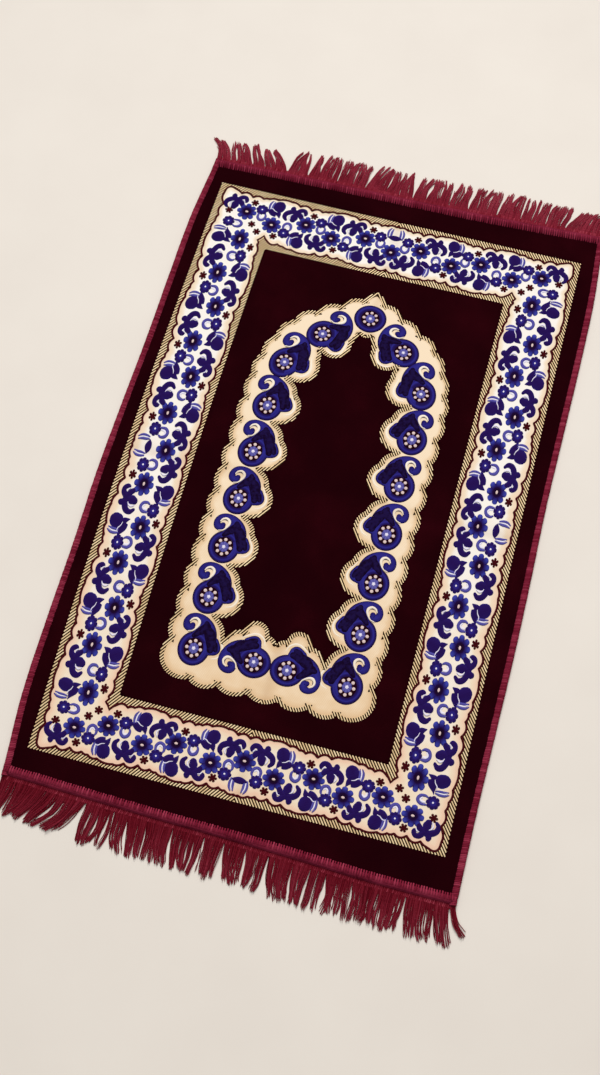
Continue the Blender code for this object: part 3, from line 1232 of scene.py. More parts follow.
BORDER_FIGURES: dict[Kind, tuple[Figure, ...]] = {
    Kind.FLOWER: (
        Figure("petals", FLOWER_PILE, lambda: crown(16.9, 8, 0.27, FLOWER_RINGS)),
        Figure("hearts", PEARL_PILE, lambda: bead(2.9, 2.0, 0.4 * MM, 0.62 * MM)),
    ),
    Kind.ROUND: (
        Figure("petals", BUD_PILE, lambda: crown(10.4, 8, 0.17, ROUND_RINGS)),
        Figure("hearts", LAVENDER_PILE, lambda: bead(1.5, 1.5, 0.4 * MM, 0.62 * MM)),
    ),
    Kind.WINE: (
        Figure("petals", WINE_PILE, lambda: crown(6.9, 6, 0.5, STAR_RINGS, 0.8 * MM)),
    ),
    Kind.SPRIG: (
        Figure("leaves", BUD_PILE, lambda: ridges((SPRIG_ARCH, SPRIG_OVAL, SPRIG_LOBE, SPRIG_CURL))),
        Figure("lights", LAVENDER_PILE, lambda: ridges((SPRIG_SLIT, SPRIG_NOTCH), 0.4 * MM, 0.75 * MM)),
    ),
    Kind.BUD: (
        Figure("body", BUD_PILE, lambda: ridges((BUD_LEAF, BUD_BALL))),
        Figure("edge", LAVENDER_PILE, lambda: ridges((BUD_EDGE,), 0.35 * MM, 0.75 * MM)),
    ),
    Kind.LEAF: (
        Figure("body", BUD_PILE, lambda: ridges((LEAF,))),
    ),
    Kind.HOOK: (
        Figure("light", LAVENDER_PILE, lambda: ridges((HOOK_LIGHT,), 0.5 * MM)),
        Figure("curl", CURL_PILE, lambda: ridges((HOOK_ARC,), 0.85 * MM)),
    ),
    Kind.BLADES: (
        Figure("light", LAVENDER_PILE, lambda: ridges((BLADE_LIGHT,), 0.6 * MM)),
        Figure("leaves", CURL_PILE, lambda: ridges(BLADE_PAIR, 0.8 * MM)),
    ),
}


@dataclass(frozen=True)
class Run:
    """Half of one side of the border: the repeat that runs from a corner to the middle of the side.

    Its repeat holds an outer flower with what follows it, and the same again mirrored about the border's own
    middle and half a repeat on, so inner groups lie between outer ones.
    """

    centre: float
    pitch: float
    sway: float
    inner_count: int
    outer_count: int
    stretch: tuple[float, float]
    outer_lag: float = 0.46

    # What follows a flower: its kind, its share of the pitch towards the middle, and its millimetres out.
    group: tuple[tuple[Kind, float, float], ...] = (
        (Kind.SPRIG, -0.215, 22.5),
        (Kind.FLOWER, 0.0, 8.0),
        (Kind.WINE, 0.085, 29.5),
        (Kind.ROUND, 0.232, 19.0),
        (Kind.HOOK, 0.262, 4.5),
        (Kind.BLADES, 0.37, 31.5),
        (Kind.BUD, 0.505, 22.5),
    )

    def places(self, last_inner_bare: bool) -> list[tuple[Kind, int, float, float]]:
        """Where the motifs of this half side lie.

        Args:
            last_inner_bare: whether the inner group next to the corner has no sprig, for want of room.

        Returns:
            For each motif its kind, its hand, its distance from the side's middle, and its distance out from
            the rug's middle. The hand is 1 for an outer group and -1 for an inner one.
        """
        found = []
        for hand, count, lag in ((1, self.outer_count, self.outer_lag), (-1, self.inner_count, 0.0)):
            for number in range(count):
                for kind, ahead, out in self.group:
                    if kind is Kind.SPRIG and hand < 0 and last_inner_bare and number == count - 1:
                        continue
                    along = (number + lag - ahead) * self.pitch
                    if along > -0.012 * self.pitch:
                        found.append((kind, hand, along, self.centre + hand * out * self.sway * MM))
        return found


@dataclass(frozen=True)
class GoldTwill:
    """Gold thread laid in slanting stitches, which lean the other way in the other half of the rug."""

    lean: float = -53.0
    pitch: float = 3.7 * MM
    half_width: float = 0.96 * MM
    height: float = 0.42 * MM
    shortest: float = 1.6 * MM

    def lines(self, areas: Sequence[Sequence[np.ndarray]]) -> list[Place]:
        """Fills areas with parallel stitches.

        Args:
            areas: the outlines of each area, its holes' among them, symmetrical in x all together.

        Returns:
            A place for each stitch, stretched in x to its length.
        """
        angle = math.radians(self.lean)
        ahead = np.array([math.cos(angle), math.sin(angle)])
        across = np.array([-ahead[1], ahead[0]])
        spans: dict[int, list[tuple[float, float]]] = {}
        for loops in areas:
            starts = np.vstack(loops)
            ends = np.vstack([np.roll(loop, -1, axis=0) for loop in loops])
            near, far = starts @ across / self.pitch, ends @ across / self.pitch
            for number in range(math.ceil(near.min()), math.floor(near.max()) + 1):
                cuts = (near > number) != (far > number)
                share = (number - near[cuts]) / (far[cuts] - near[cuts])
                at = np.sort((starts[cuts] + (ends[cuts] - starts[cuts]) * share[:, None]) @ ahead)
                spans.setdefault(number, []).extend(zip(at[::2], at[1::2]))
        places = []
        for number, found in spans.items():
            origin = across * number * self.pitch
            middle = -origin[0] / ahead[0]
            last = -math.inf
            for start, end in sorted((max(a, middle), b) for a, b in found if b > middle):
                start = max(start, last)
                last = max(last, end)
                if end - start < self.shortest:
                    continue
                x, y = origin + ahead * (start + end) / 2
                places.append(Place(x, y, angle, end - start))
                places.append(Place(-x, y, math.pi - angle, end - start))
        return places

    def stitch(self) -> Form:
        """One stitch, a metre long, that is stretched to its place: a low arched strip."""
        half, high = self.half_width, self.height
        section = ((-half, 0), (-half * 0.6, high * 0.8), (0, high), (half * 0.6, high * 0.8), (half, 0))
        points = np.array([(x, y, z) for x in (-0.5, 0.5) for y, z in section])
        faces = [(i, i + 5, i + 6, i + 1) for i in range(4)]
        faces += [(4, 9, 5, 0), (0, 1, 2, 3, 4), (9, 8, 7, 6, 5)]
        # Painted highlight: the shade, and with it the gold, is lightest along the crest and darkest at the
        # edges.
        return Form(points, faces, np.tile([0.0, 0.8, 1.0, 0.8, 0.0], 2))


def scalloped(share: np.ndarray, cusps: Sequence[Row]) -> np.ndarray:
    """How deep a scalloped line lies at some shares of its repeat.

    Args:
        share: shares of the repeat.
        cusps: rows of a cusp's share, its depth, and how much shallower the lobe after it is at its middle.

    Returns:
        The depths.
    """
    first = cusps[0][0]
    share = (share - first) % 1.0 + first
    depth = np.zeros_like(share)
    for (start, deep, bulge), (end, next_deep, _) in zip(cusps, (*cusps[1:], (first + 1, cusps[0][1], 0.0))):
        here = (share >= start) & (share <= end)
        part = (share[here] - start) / (end - start)
        depth[here] = deep + (next_deep - deep) * part - bulge * np.abs(np.sin(math.pi * part)) ** 0.8
    return depth


# The wine line's lobes past each bud, in shares of the pitch, with their depths in millimetres.
WINE_SCALLOPS = (
    (-0.49, 16.3, 5.6),
    (-0.29, 13.4, 2.6),
    (-0.14, 8.2, 2.6),
    (0.10, 10.4, 2.6),
    (0.24, 12.6, 1.8),
    (0.335, 14.8, 4.6),
)


@dataclass
class FloralBorder:
    """The floral border: four mirrored quarters of motifs on cream, between wine lines and gold hatching."""

    outer_x: float = 0.3064
    outer_y: float = 0.4995
    inner_x: float = 0.1999
    inner_y: float = 0.392
    line_half_width: float = 1.85
    twill: GoldTwill = GoldTwill()
    end_run: Run = Run(0.447, 0.1015, 0.93, 3, 3, stretch=(1.0, 0.98))
    side_run: Run = Run(0.2527, 0.1333, 0.98, 4, 3, stretch=(1.25, 0.92), outer_lag=0.47)
    # Motifs that fill the corner and the middles of the sides: kind, hand, x and y from the rug's middle in
    # millimetres, turn in degrees.
    corner: tuple[tuple[Kind, int, float, float, float], ...] = (
        (Kind.WINE, 1, 234.8, 433.0, 10.0),
        (Kind.WINE, 1, 222.8, 421.0, 40.0),
        (Kind.WINE, 1, 279.0, 450.5, 0.0),
        (Kind.ROUND, 1, 273.2, 429.5, 0.0),
        (Kind.HOOK, 1, 258.0, 428.0, -90.0),
        (Kind.BLADES, 1, 283.0, 413.0, -90.0),
        (Kind.BUD, 1, 271.0, 394.5, -90.0),
        (Kind.LEAF, 1, 0.0, 468.0, 0.0),
        (Kind.LEAF, 1, 273.0, 0.0, 90.0),
    )

    def quarter_lines(self) -> tuple[np.ndarray, np.ndarray]:
        """The far right quarter's outer and inner wine lines, each from the far side's middle clockwise."""
        end, side = self.end_run, self.side_run

        def depth(run: Run, along: np.ndarray, lag: float = 0.0) -> np.ndarray:
            """How deep a wine line lies at distances from its side's middle."""
            return scalloped(along / run.pitch - lag + 0.53, WINE_SCALLOPS) * MM

        x, y = np.linspace(0.0, 0.2765, 300), np.linspace(0.4795, 0.0, 420)
        along_end = np.column_stack([x, self.outer_y - 0.96 * depth(end, x, end.outer_lag)])
        along_side = np.column_stack([self.outer_x - 0.94 * depth(side, y, side.outer_lag), y])
        bend = [along_end[-1], (0.2885, 0.4955), (0.2955, 0.4905), along_side[0]]
        outer = np.vstack([along_end, smooth_through(bend, 5)[1:-1], along_side])
        x, y = np.linspace(0.0, 0.1985, 220), np.linspace(0.3975, 0.0, 350)
        along_end = np.column_stack([x, self.inner_y + depth(end, x)])
        along_side = np.column_stack([self.inner_x + 0.4 * MM + 0.9 * depth(side, y), y])
        spike = ((0.2045, 0.4105), (0.2085, 0.4165), (0.2115, 0.4110), (0.2165, 0.4062), (0.2130, 0.4015))
        return outer, np.vstack([along_end, spike, along_side])

    @staticmethod
    def all_round(quarter: np.ndarray) -> np.ndarray:
        """A closed line from its far right quarter, clockwise, with no point twice."""
        near_right = quarter[::-1] * (1, -1)
        half = np.vstack([quarter, near_right[1:]])
        return np.vstack([half, (half[::-1] * (-1, 1))[1:-1]])

    @staticmethod
    def box(half_x: float, half_y: float, spacing: float = 6 * MM) -> np.ndarray:
        """A rectangle's outline in short steps, anticlockwise."""
        corners = [(-half_x, -half_y), (half_x, -half_y), (half_x, half_y), (-half_x, half_y)]
        sides = []
        for start, end in zip(corners, corners[1:] + corners[:1]):
            a, b = np.array(start), np.array(end)
            steps = int(np.linalg.norm(b - a) / spacing)
            sides.append(a + (b - a) * np.linspace(0, 1, steps, endpoint=False)[:, None])
        return np.vstack(sides)

    def loops(self) -> dict[str, np.ndarray]:
        """The border's four closed lines."""
        outer, inner = self.quarter_lines()
        return {
            "outer_box": self.box(self.outer_x, self.outer_y),
            "outer_line": self.all_round(outer),
            "inner_line": self.all_round(inner),
            "inner_box": self.box(self.inner_x, self.inner_y),
        }

    def places(self) -> dict[tuple[Kind, int], list[Place]]:
        """Every motif of the border, by kind and hand."""
        found: dict[tuple[Kind, int], list[Place]] = {}

        def add(kind: Kind, hand: int, x: float, y: float, turn: float, stretch: tuple[float, float]) -> None:
            """Adds a motif and its mirror images in the other three quarters."""
            for mirror_x in (1, -1):
                for mirror_y in (1, -1):
                    angle = math.atan2(mirror_y * math.sin(turn), mirror_x * math.cos(turn))
                    spot = Place(mirror_x * x, mirror_y * y, angle, *stretch)
                    taken = found.get((kind, 1), []) + found.get((kind, -1), [])
                    if all(abs(spot.x - s.x) + abs(spot.y - s.y) > 4 * MM for s in taken):
                        found.setdefault((kind, hand * mirror_x * mirror_y), []).append(spot)

        # Towards the middle of the far side is -x in this quarter, and out is +y: a left-handed pair.
        for kind, hand, along, out in self.end_run.places(last_inner_bare=True):
            add(kind, -hand, along, out, math.pi, self.end_run.stretch)
        # Towards the middle of the right side is -y, and out is +x: a right-handed pair.
        for kind, hand, along, out in self.side_run.places(last_inner_bare=True):
            add(kind, hand, out, along, -math.pi / 2, self.side_run.stretch)
        for kind, hand, x, y, turn in self.corner:
            add(kind, hand, x * MM, y * MM, math.radians(turn), (1.0, 1.0))
        return found


# The arch, from its tip down its left side: where each lobe ends, and how far it bulges, in millimetres.
SIDE_PITCH = 82.5
OUTER_LOBES = (
    (0.0, 360.0, 0.0),
    (-18.0, 341.5, 2.5),
    (-51.5, 321.5, 6.5),
    (-86.0, 300.5, 7.0),
    (-115.5, 277.0, 7.5),
    (-138.0, 240.0, 6.5),
    (-150.0, 202.0, 6.0),
    *((-154.3, 165.0 - SIDE_PITCH / 2 * number, 6.3) for number in range(12)),
    (-111.0, -343.5, 27.0),
    (-68.0, -343.5, 8.5),
    (-22.5, -343.5, 8.5),
)
BOTTOM_BULGE = 8.5
SIDE_MEDALLIONS = tuple(116.0 - SIDE_PITCH * number for number in range(6))
INNER_LOBES = (
    (0.0, 273.5, 0.0),
    (-9.5, 276.5, -0.5),
    (-17.0, 257.0, -1.0),
    (-61.5, 232.0, -20.0),
    (-57.5, 212.0, -2.0),
    (-93.5, 168.5, -19.0),
    *(
        row
        for middle in SIDE_MEDALLIONS[:-1]
        for row in ((-75.8, middle + 30.0, -4.0), (-94.0, middle - 28.0, -20.5))
    ),
    (-76.0, -270.0, -4.0),
    (-52.0, -250.5, -5.0),
    (-13.5, -250.0, -18.5),
    (0.0, -259.0, -2.5),
)


def lobed_arcs(lobes: Sequence[Row], bottom_bulge: float | None) -> list[np.ndarray]:
    """The arcs of a lobed outline, anticlockwise from its top, from the table of its left half.

    Args:
        lobes: where each lobe ends and how far it bulges, in millimetres, from the top down the left side.
        bottom_bulge: how far the lobe across the middle of the bottom bulges, if the table stops short of it.

    Returns:
        Each arc's points, the next arc's first one among them.
    """
    left = [(a[:2], b[:2], b[2]) for a, b in zip(lobes, lobes[1:])]
    x, y, _ = lobes[-1]
    middle = [((x, y), (-x, y), bottom_bulge)] if bottom_bulge is not None else []
    right = [((-b[0], b[1]), (-a[0], a[1]), bulge) for a, b, bulge in reversed(left)]
    arcs = []
    for start, end, bulge in (*left, *middle, *right):
        steps = max(4, int(math.dist(start, end) / 3.0))
        points = arc(start, end, bulge, steps)
        arcs.append(np.vstack([points, [end]]) * MM)
    return arcs


@dataclass
class ArchBand:
    """The scalloped arch: a cream band with gold rope along both edges and a chain of paisleys between."""

    rope_width: float = 6.2
    spur: float = 8.5
    twill: GoldTwill = GoldTwill(lean=-56.0, pitch=3.6 * MM)

    # The left half's paisleys: the centre of each ring in millimetres, its turn in degrees, its stretch.
    paisleys: tuple[tuple[float, float, float, float, float], ...] = (
        (-66.0, 262.0, -46.0, 1.04, 1.0),
        (-110.3, 197.0, -18.0, 1.0, 1.05),
        *((-115.3, middle, 0.0, 1.0, 1.0) for middle in SIDE_MEDALLIONS),
        (-25.0, -294.5, 90.0, 1.04, 0.96),
    )
    apex: tuple[float, float] = (0.0, 309.3)

    def arcs(self) -> tuple[list[np.ndarray], list[np.ndarray]]:
        """The outer and the inner edge's arcs."""
        return lobed_arcs(OUTER_LOBES, BOTTOM_BULGE), lobed_arcs(INNER_LOBES, None)

    @staticmethod
    def closed(arcs: Sequence[np.ndarray]) -> np.ndarray:
        """One closed loop from arcs that meet."""
        return np.vstack([points[:-1] for points in arcs])

    def ropes(self) -> list[np.ndarray]:
        """The route of each lobe's rope, in millimetres, each row with the half width there.

        Returns:
            Routes half a rope's width inside the cream, that run on past each cusp as a spur that tapers.
        """
        routes = []
        outer, inner = self.arcs()
        half = self.rope_width / 2
        for points, side in (*((edge, 1) for edge in outer), *((edge, -1) for edge in inner)):
            ahead, left = directions(points)
            line = points / MM + side * left * half
            width = np.full(len(line), half)
            if math.dist(points[0], points[-1]) > 24 * MM:
                share = np.array([0.35, 0.7, 1.0])[:, None]
                head = line[:1] - ahead[:1] * self.spur * share[::-1]
                tail = line[-1:] + ahead[-1:] * self.spur * share
                line = np.vstack([head, line, tail])
                taper = np.array([0.85, 0.7, 0.35]) * half
                width = np.concatenate([taper[::-1], width, taper])
            routes.append(np.column_stack([line, width]))
        return routes

    @staticmethod
    def outline_of(route: np.ndarray) -> np.ndarray:
        """The outline of a route with its half widths, in metres."""
        _, left = directions(route)
        sides = (route[:, :2] + left * route[:, 2:], route[:, :2] - left * route[:, 2:])
        return np.vstack([sides[0], sides[1][::-1]]) * MM


# The paisley, in millimetres from the middle of its ring. Rows end with the half width.
RING_RINGS = ((1.0, 0.0, 0.0), (0.93, 0.75, 0.45), (0.8, 1.0, 1.0), (0.66, 0.9, 0.5), (0.0, 0.7, 0.0))
RING = Rosette(24.0, 27.0, rings=RING_RINGS, steps=12)
SPINE = (
    (11, -14, 6.0), (17.5, 4, 9.6), (17.6, 22, 11.6), (12, 36, 10.8), (3, 45.5, 7.8), (-8, 48.6, 6.2),
    (-16.5, 46, 5.4), (-20.6, 39, 5.2), (-18.8, 31.6, 6.0), (-13, 30.4, 6.6), (-11, 34.5, 4.4),
)
NECK = ((-6, 18, 6.0), (0, 27, 6.0), (4, 38, 5.0))
BULGE = ((24, -1, 4.4), (29.5, 3, 7.0), (31, 8, 7.8), (27, 17, 7.0))
SPINE_SHADE = (
    ((-5, 19, 3.6), (3, 28, 6.4), (10, 36, 7.4), (9, 41, 4.6)),
    ((9, 35, 6.4), (17, 27, 8.8), (22, 15, 8.6), (24, 4, 6.0)),
    ((22, 17, 4.0), (28, 13, 5.0), (31, 6, 4.2)),
)
HOOK_HOLLOW = (
    (-16, 39.4, 0.8), (-13.2, 43.8, 1.4), (-7.8, 45.8, 1.8), (-3.0, 42.6, 2.1), (-2.2, 37, 1.8),
    (-5.2, 30.5, 1.3), (-9, 26, 0.9), (-15, 24, 0.7),
)
# Painted highlight: a whiter crescent of satin beside each paisley's bulge.
PAINTED_HALO = ((28, -9.5, 0.7), (36.5, -6, 1.4), (41.5, 3, 1.8), (40.5, 12, 1.6), (35, 21.5, 1.1), (31.5, 28, 0.7))
HEART = Rosette(15.4, 17.4, rings=DISC_RINGS, steps=9)
DAISY_RINGS = ((1.0, 0.0, 0.3), (0.85, 0.8, 0.9), (0.4, 1.0, 1.0), (0.0, 0.9, 0.8))
DAISY = Rosette(8.3, 9.5, 8, 0.1, DAISY_RINGS, steps=4)
STAR = Rosette(3.3, 3.6, 5, 0.2, BEAD_RINGS, steps=2)
PEARLS = 8
PEARL_RING = (10.2, 11.9)
PEARL = (3.0, 3.1)


def pearl_ring() -> Form:
    """The ring of pale beads round a medallion's daisy."""
    beads = []
    for number in range(PEARLS):
        angle = math.tau * number / PEARLS
        spot = (PEARL_RING[0] * MM * math.cos(angle), PEARL_RING[1] * MM * math.sin(angle))
        beads.append(bead(*PEARL, 0.4 * MM, 0.85 * MM).moved(*spot))
    return joined(beads)


def plain_ring() -> Form:
    """The ring alone, as at the arch's tip."""
    return RING.form(LEVELS.motif_height)


PAISLEY_FIGURES = (
    # Painted highlight beside the bulge.
    Figure("halo", WHITE_SATIN, lambda: ridges((PAINTED_HALO,), 0.2 * MM)),
    Figure("scroll", RING_PILE, lambda: joined((plain_ring(), ridges((NECK, BULGE, SPINE))))),
    Figure("shade", NAVY_PILE, lambda: ridges(SPINE_SHADE, 0.4 * MM, 0.78 * MM)),
    Figure("hollow", WHITE_SATIN, lambda: ridges((HOOK_HOLLOW,), 0.45 * MM, 0.8 * MM)),
)
MEDALLION_FIGURES = (
    Figure("hearts", MAROON_PILE, lambda: HEART.form(0.5 * MM, 0.55 * MM)),
    Figure("pearls", PEARL_PILE, pearl_ring),
    Figure("daisies", SKY_PILE, lambda: DAISY.form(0.45 * MM, 0.85 * MM)),
    Figure("stars", LAVENDER_PILE, lambda: STAR.form(0.4 * MM, 1.15 * MM)),
)


@dataclass
class FiguredCloth:
    """The woven cloth with its whole design."""

    outline: Outline
    growers: Growers
    border: FloralBorder = field(default_factory=FloralBorder)
    arch: ArchBand = field(default_factory=ArchBand)
    pieces: list[Thing] = field(default_factory=list)

    def keep(self, obj: Thing) -> Thing:
        """Settles a finished piece on the rug's lie and keeps it."""
        LIE.settle(obj)
        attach(obj, ROOT)
        self.pieces.append(obj)
        log.info("%s: %d faces", obj.name, len(obj.data.polygons))
        return obj

    def edge(self, share: float) -> np.ndarray:
        """The cloth's outline on the loom, drawn in by a share of the yarn edges' widths."""
        widths = (self.outline.binding_width, self.outline.heading_width)
        return LIE.drawn(self.outline.loop(*(width * share for width in widths)))

    def ground(self) -> Thing:
        """The woven ground that carries everything."""
        form = patch([self.edge(0.6)], 0.0, LEVELS.ground, drop=0.2 * MM, spacing=24 * MM, rim=2 * MM)
        return self.keep(form.as_object("rug_ground_cloth", GROUND_CLOTH))

    def area(self, name: str, finish: Finish, loops: Sequence[np.ndarray], high: float, **shape: float) -> None:
        """Lays one flat area of the design, with the rest of what a patch is given."""
        self.keep(patch(loops, LEVELS.layer, high, **shape).as_object(name, finish))

    def fields(self) -> None:
        """The plain burgundy pile, the cream satin and the gold thread's beds."""
        loops = self.border.loops()
        outer_arcs, inner_arcs = self.arch.arcs()
        outer, inner = self.arch.closed(outer_arcs), self.arch.closed(inner_arcs)
        pile = [self.edge(0.75), loops["outer_box"], loops["inner_box"], outer, inner]
        cream = [loops["outer_line"], loops["inner_line"]]
        bed = [loops["outer_box"], loops["outer_line"], loops["inner_line"], loops["inner_box"]]
        satin = {"high": LEVELS.satin, "drop": 0.05 * MM, "rim": 2.5 * MM}
        self.area("burgundy_pile", BURGUNDY_PILE, pile, LEVELS.pile,
                  drop=0.45 * MM, spacing=6.5 * MM, rim=0.9 * MM)
        self.area("border_ground", BORDER_SATIN, cream, spacing=5 * MM, fade=14 * MM, **satin)
        self.area("arch_ground", ARCH_SATIN, [outer, inner], spacing=6 * MM, fade=13 * MM, **satin)
        self.area("gold_bed_border", GOLD_BED, bed, LEVELS.satin,
                  drop=0.0, spacing=6.5 * MM, rim=1.5 * MM)

    def wine_lines(self) -> None:
        """The thin wavy lines between the cream and the gold."""
        loops = self.border.loops()
        half = self.border.line_half_width
        forms = []
        for name in ("outer_line", "inner_line"):
            line = np.vstack([loops[name], loops[name][:1]])
            route = np.column_stack([line / MM, np.full(len(line), half)])
            forms.append(stroke(route, 0.8 * MM, LEVELS.satin + 0.02 * MM, steps=1))
        self.keep(joined(forms).as_object("wine_lines", WINE_PILE))

    def gold(self) -> None:
        """The gold twill of the border's bands and of the arch's rope."""
        loops = self.border.loops()
        areas = [[loops["outer_box"], loops["outer_line"]], [loops["inner_line"], loops["inner_box"]]]
        self.lay_twill("gold_hatching", self.border.twill.lines(areas), LEVELS.satin)
        ropes = self.arch.ropes()
        bed = joined(stroke(route, 0.35 * MM, LEVELS.satin - 0.02 * MM, steps=1) for route in ropes)
        self.keep(bed.as_object("gold_bed_arch", GOLD_BED))
        outlines = [[self.arch.outline_of(route)] for route in ropes]
        self.lay_twill("gold_rope", self.arch.twill.lines(outlines), LEVELS.satin + 0.2 * MM)

    def lay_twill(self, name: str, places: Sequence[Place], level: float) -> None:
        """Lays gold stitches, each a unit long before it is stretched to its place."""
        self.scatter(name, Figure("stitch", GOLD_STITCH, self.border.twill.stitch), 1, places, level, 0.0)

    def motifs(self) -> None:
        """The border's flowers and leaves."""
        for (kind, hand), places in self.border.places().items():
            for figure in BORDER_FIGURES[kind]:
                side = "a" if hand > 0 else "b"
                self.scatter(f"border_{kind.value}_{figure.name}_{side}", figure, hand, places)

    def paisleys(self) -> None:
        """The arch's chain of paisleys, with a medallion in each ring and a plain ring at the tip."""
        medallions = []
        for hand in (1, -1):
            places = []
            for x, y, turn, stretch_x, stretch_y in self.arch.paisleys:
                angle = math.radians(turn) if hand > 0 else math.pi - math.radians(turn)
                places.append(Place(hand * x * MM, y * MM, angle, stretch_x, stretch_y))
                upright = abs(turn) in (0.0, 90.0)
                medallions.append(Place(hand * x * MM, y * MM, 0.0, 1.0, 1.0 if upright else 0.9))
            for figure in PAISLEY_FIGURES:
                side = "left" if hand > 0 else "right"
                self.scatter(f"paisley_{figure.name}_{side}", figure, hand, places)
        tip = Place(self.arch.apex[0] * MM, self.arch.apex[1] * MM, 0.0, 1.1, 0.95)
        self.scatter("paisley_ring_tip", Figure("ring", RING_PILE, plain_ring), 1, [tip])
        medallions.append(Place(tip.x, tip.y, 0.0, 1.0, 0.9))
        for figure in MEDALLION_FIGURES:
            self.scatter(f"medallion_{figure.name}", figure, 1, medallions)

    def scatter(self, name: str, figure: Figure, hand: int, places: Sequence[Place],
                level: float = LEVELS.motif, unevenness: float = 0.015) -> None:
        """Sets a figure down at its places.

        Args:
            name: the new piece's name.
            figure: what is set down.
            hand: 1 for the figure as drawn, -1 for its mirror image.
            places: where.
            level: the height that it is set down at.
            unevenness: how far its turn, in radians, and its size stray.
        """
        form = figure.form()
        motif = (form if hand > 0 else form.flipped()).as_object("motif")
        mesh = bpy.data.meshes.new(name)
        mesh.from_pydata([(p.x, p.y, level) for p in places], [], [])
        carry(mesh, "turn", [p.turn for p in places])
        carry(mesh, "stretch", [(p.stretch_x, p.stretch_y, 1.0) for p in places], "FLOAT_VECTOR")
        inputs = {"Motif": motif, "Unevenness": unevenness, "Seed": SEED}
        grown = self.growers.scatter.grow(placed(name, mesh), figure.finish, sharp=80.0, **inputs)
        drop(motif)
        self.keep(grown)

    def build(self) -> list[Thing]:
        ground = self.ground()
        self.fields()
        self.wine_lines()
        self.gold()
        self.motifs()
        self.paisleys()
        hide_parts("rug_cloth")
        return self.pieces


# ------------------------------------------------------------------------------
# Whipped edges and fringes


@dataclass
class WhippedEdge:
    """An edge whipped over with yarn: stitch after stitch wrapped over a roll, each biting into the pile."""

    name: str
    route: np.ndarray
    growers: Growers
    half_width: float
    height: float
    bite: float
    pitch: float
    # Half the width and half the thickness of one wrap.
    yarn: tuple[float, float]
    slant: float
    half_wrapped: bool = False

    def stitch(self) -> Form:
        """One stitch, from under the roll's outer side, or from its crest, over and down into the pile."""
        w, h = self.half_width, self.height
        path = [
            (-w * 0.86, 0.5 * MM), (-w * 1.06, 0.36 * h), (-w * 0.9, 0.74 * h), (-w * 0.45, h),
            (w * 0.2, h * 1.02), (w * 0.8, h * 0.84), (w + self.bite * 0.6, h * 0.66), (w + self.bite, h * 0.42),
        ]
        if self.half_wrapped:
            path = [(-w * 0.5, h * 0.82), *path[4:]]
        line = smooth_through(path, 2)
        ahead = np.gradient(line, axis=0)
        ahead /= np.linalg.norm(ahead, axis=1, keepdims=True)
        up = np.column_stack([-ahead[:, 1], ahead[:, 0]])
        sides = 6
        angle = np.arange(sides) * math.tau / sides
        share = np.linspace(0, 1, len(line))
        taper = np.clip(np.minimum(share, 1 - share) * 8, 0.45, 1.0)
        points = []
        for (x, z), (ux, uz), size in zip(line, up, taper):
            lift = np.cos(angle) * self.yarn[1] * size
            wide = np.sin(angle) * self.yarn[0] * size
            points.append(np.column_stack([x + ux * lift, wide, z + uz * lift]))
        count = len(line)
        ends = (tuple(range(sides))[::-1], tuple(range((count - 1) * sides, count * sides)))
        faces = [*bands(count, sides), *ends]
        # Painted shade: each wrap is lighter on its outer face and darker on the face that lies against the
        # roll.
        shade = np.tile(0.5 + 0.5 * np.cos(angle), count)
        return Form(np.vstack(points), faces, shade)

    def build(self) -> None:
        """Whips the whole edge."""
        stitch = self.stitch().as_object("stitch")
        raised = np.column_stack([self.route, np.zeros(len(self.route))])
        source = lines_object(self.name, [raised], reach=[np.ones(len(raised))])
        slant = math.radians(self.slant - 90)
        inputs = {"Pitch": self.pitch, "Slant": slant, "Unevenness": 0.05, "Seed": SEED + len(self.name)}
        grown = self.growers.lay_along.grow(source, EDGE_YARN, sharp=80.0, Stitch=stitch, **inputs)
        drop(stitch)
        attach(grown, ROOT)
        log.info("%s: %d faces", grown.name, len(grown.data.polygons))


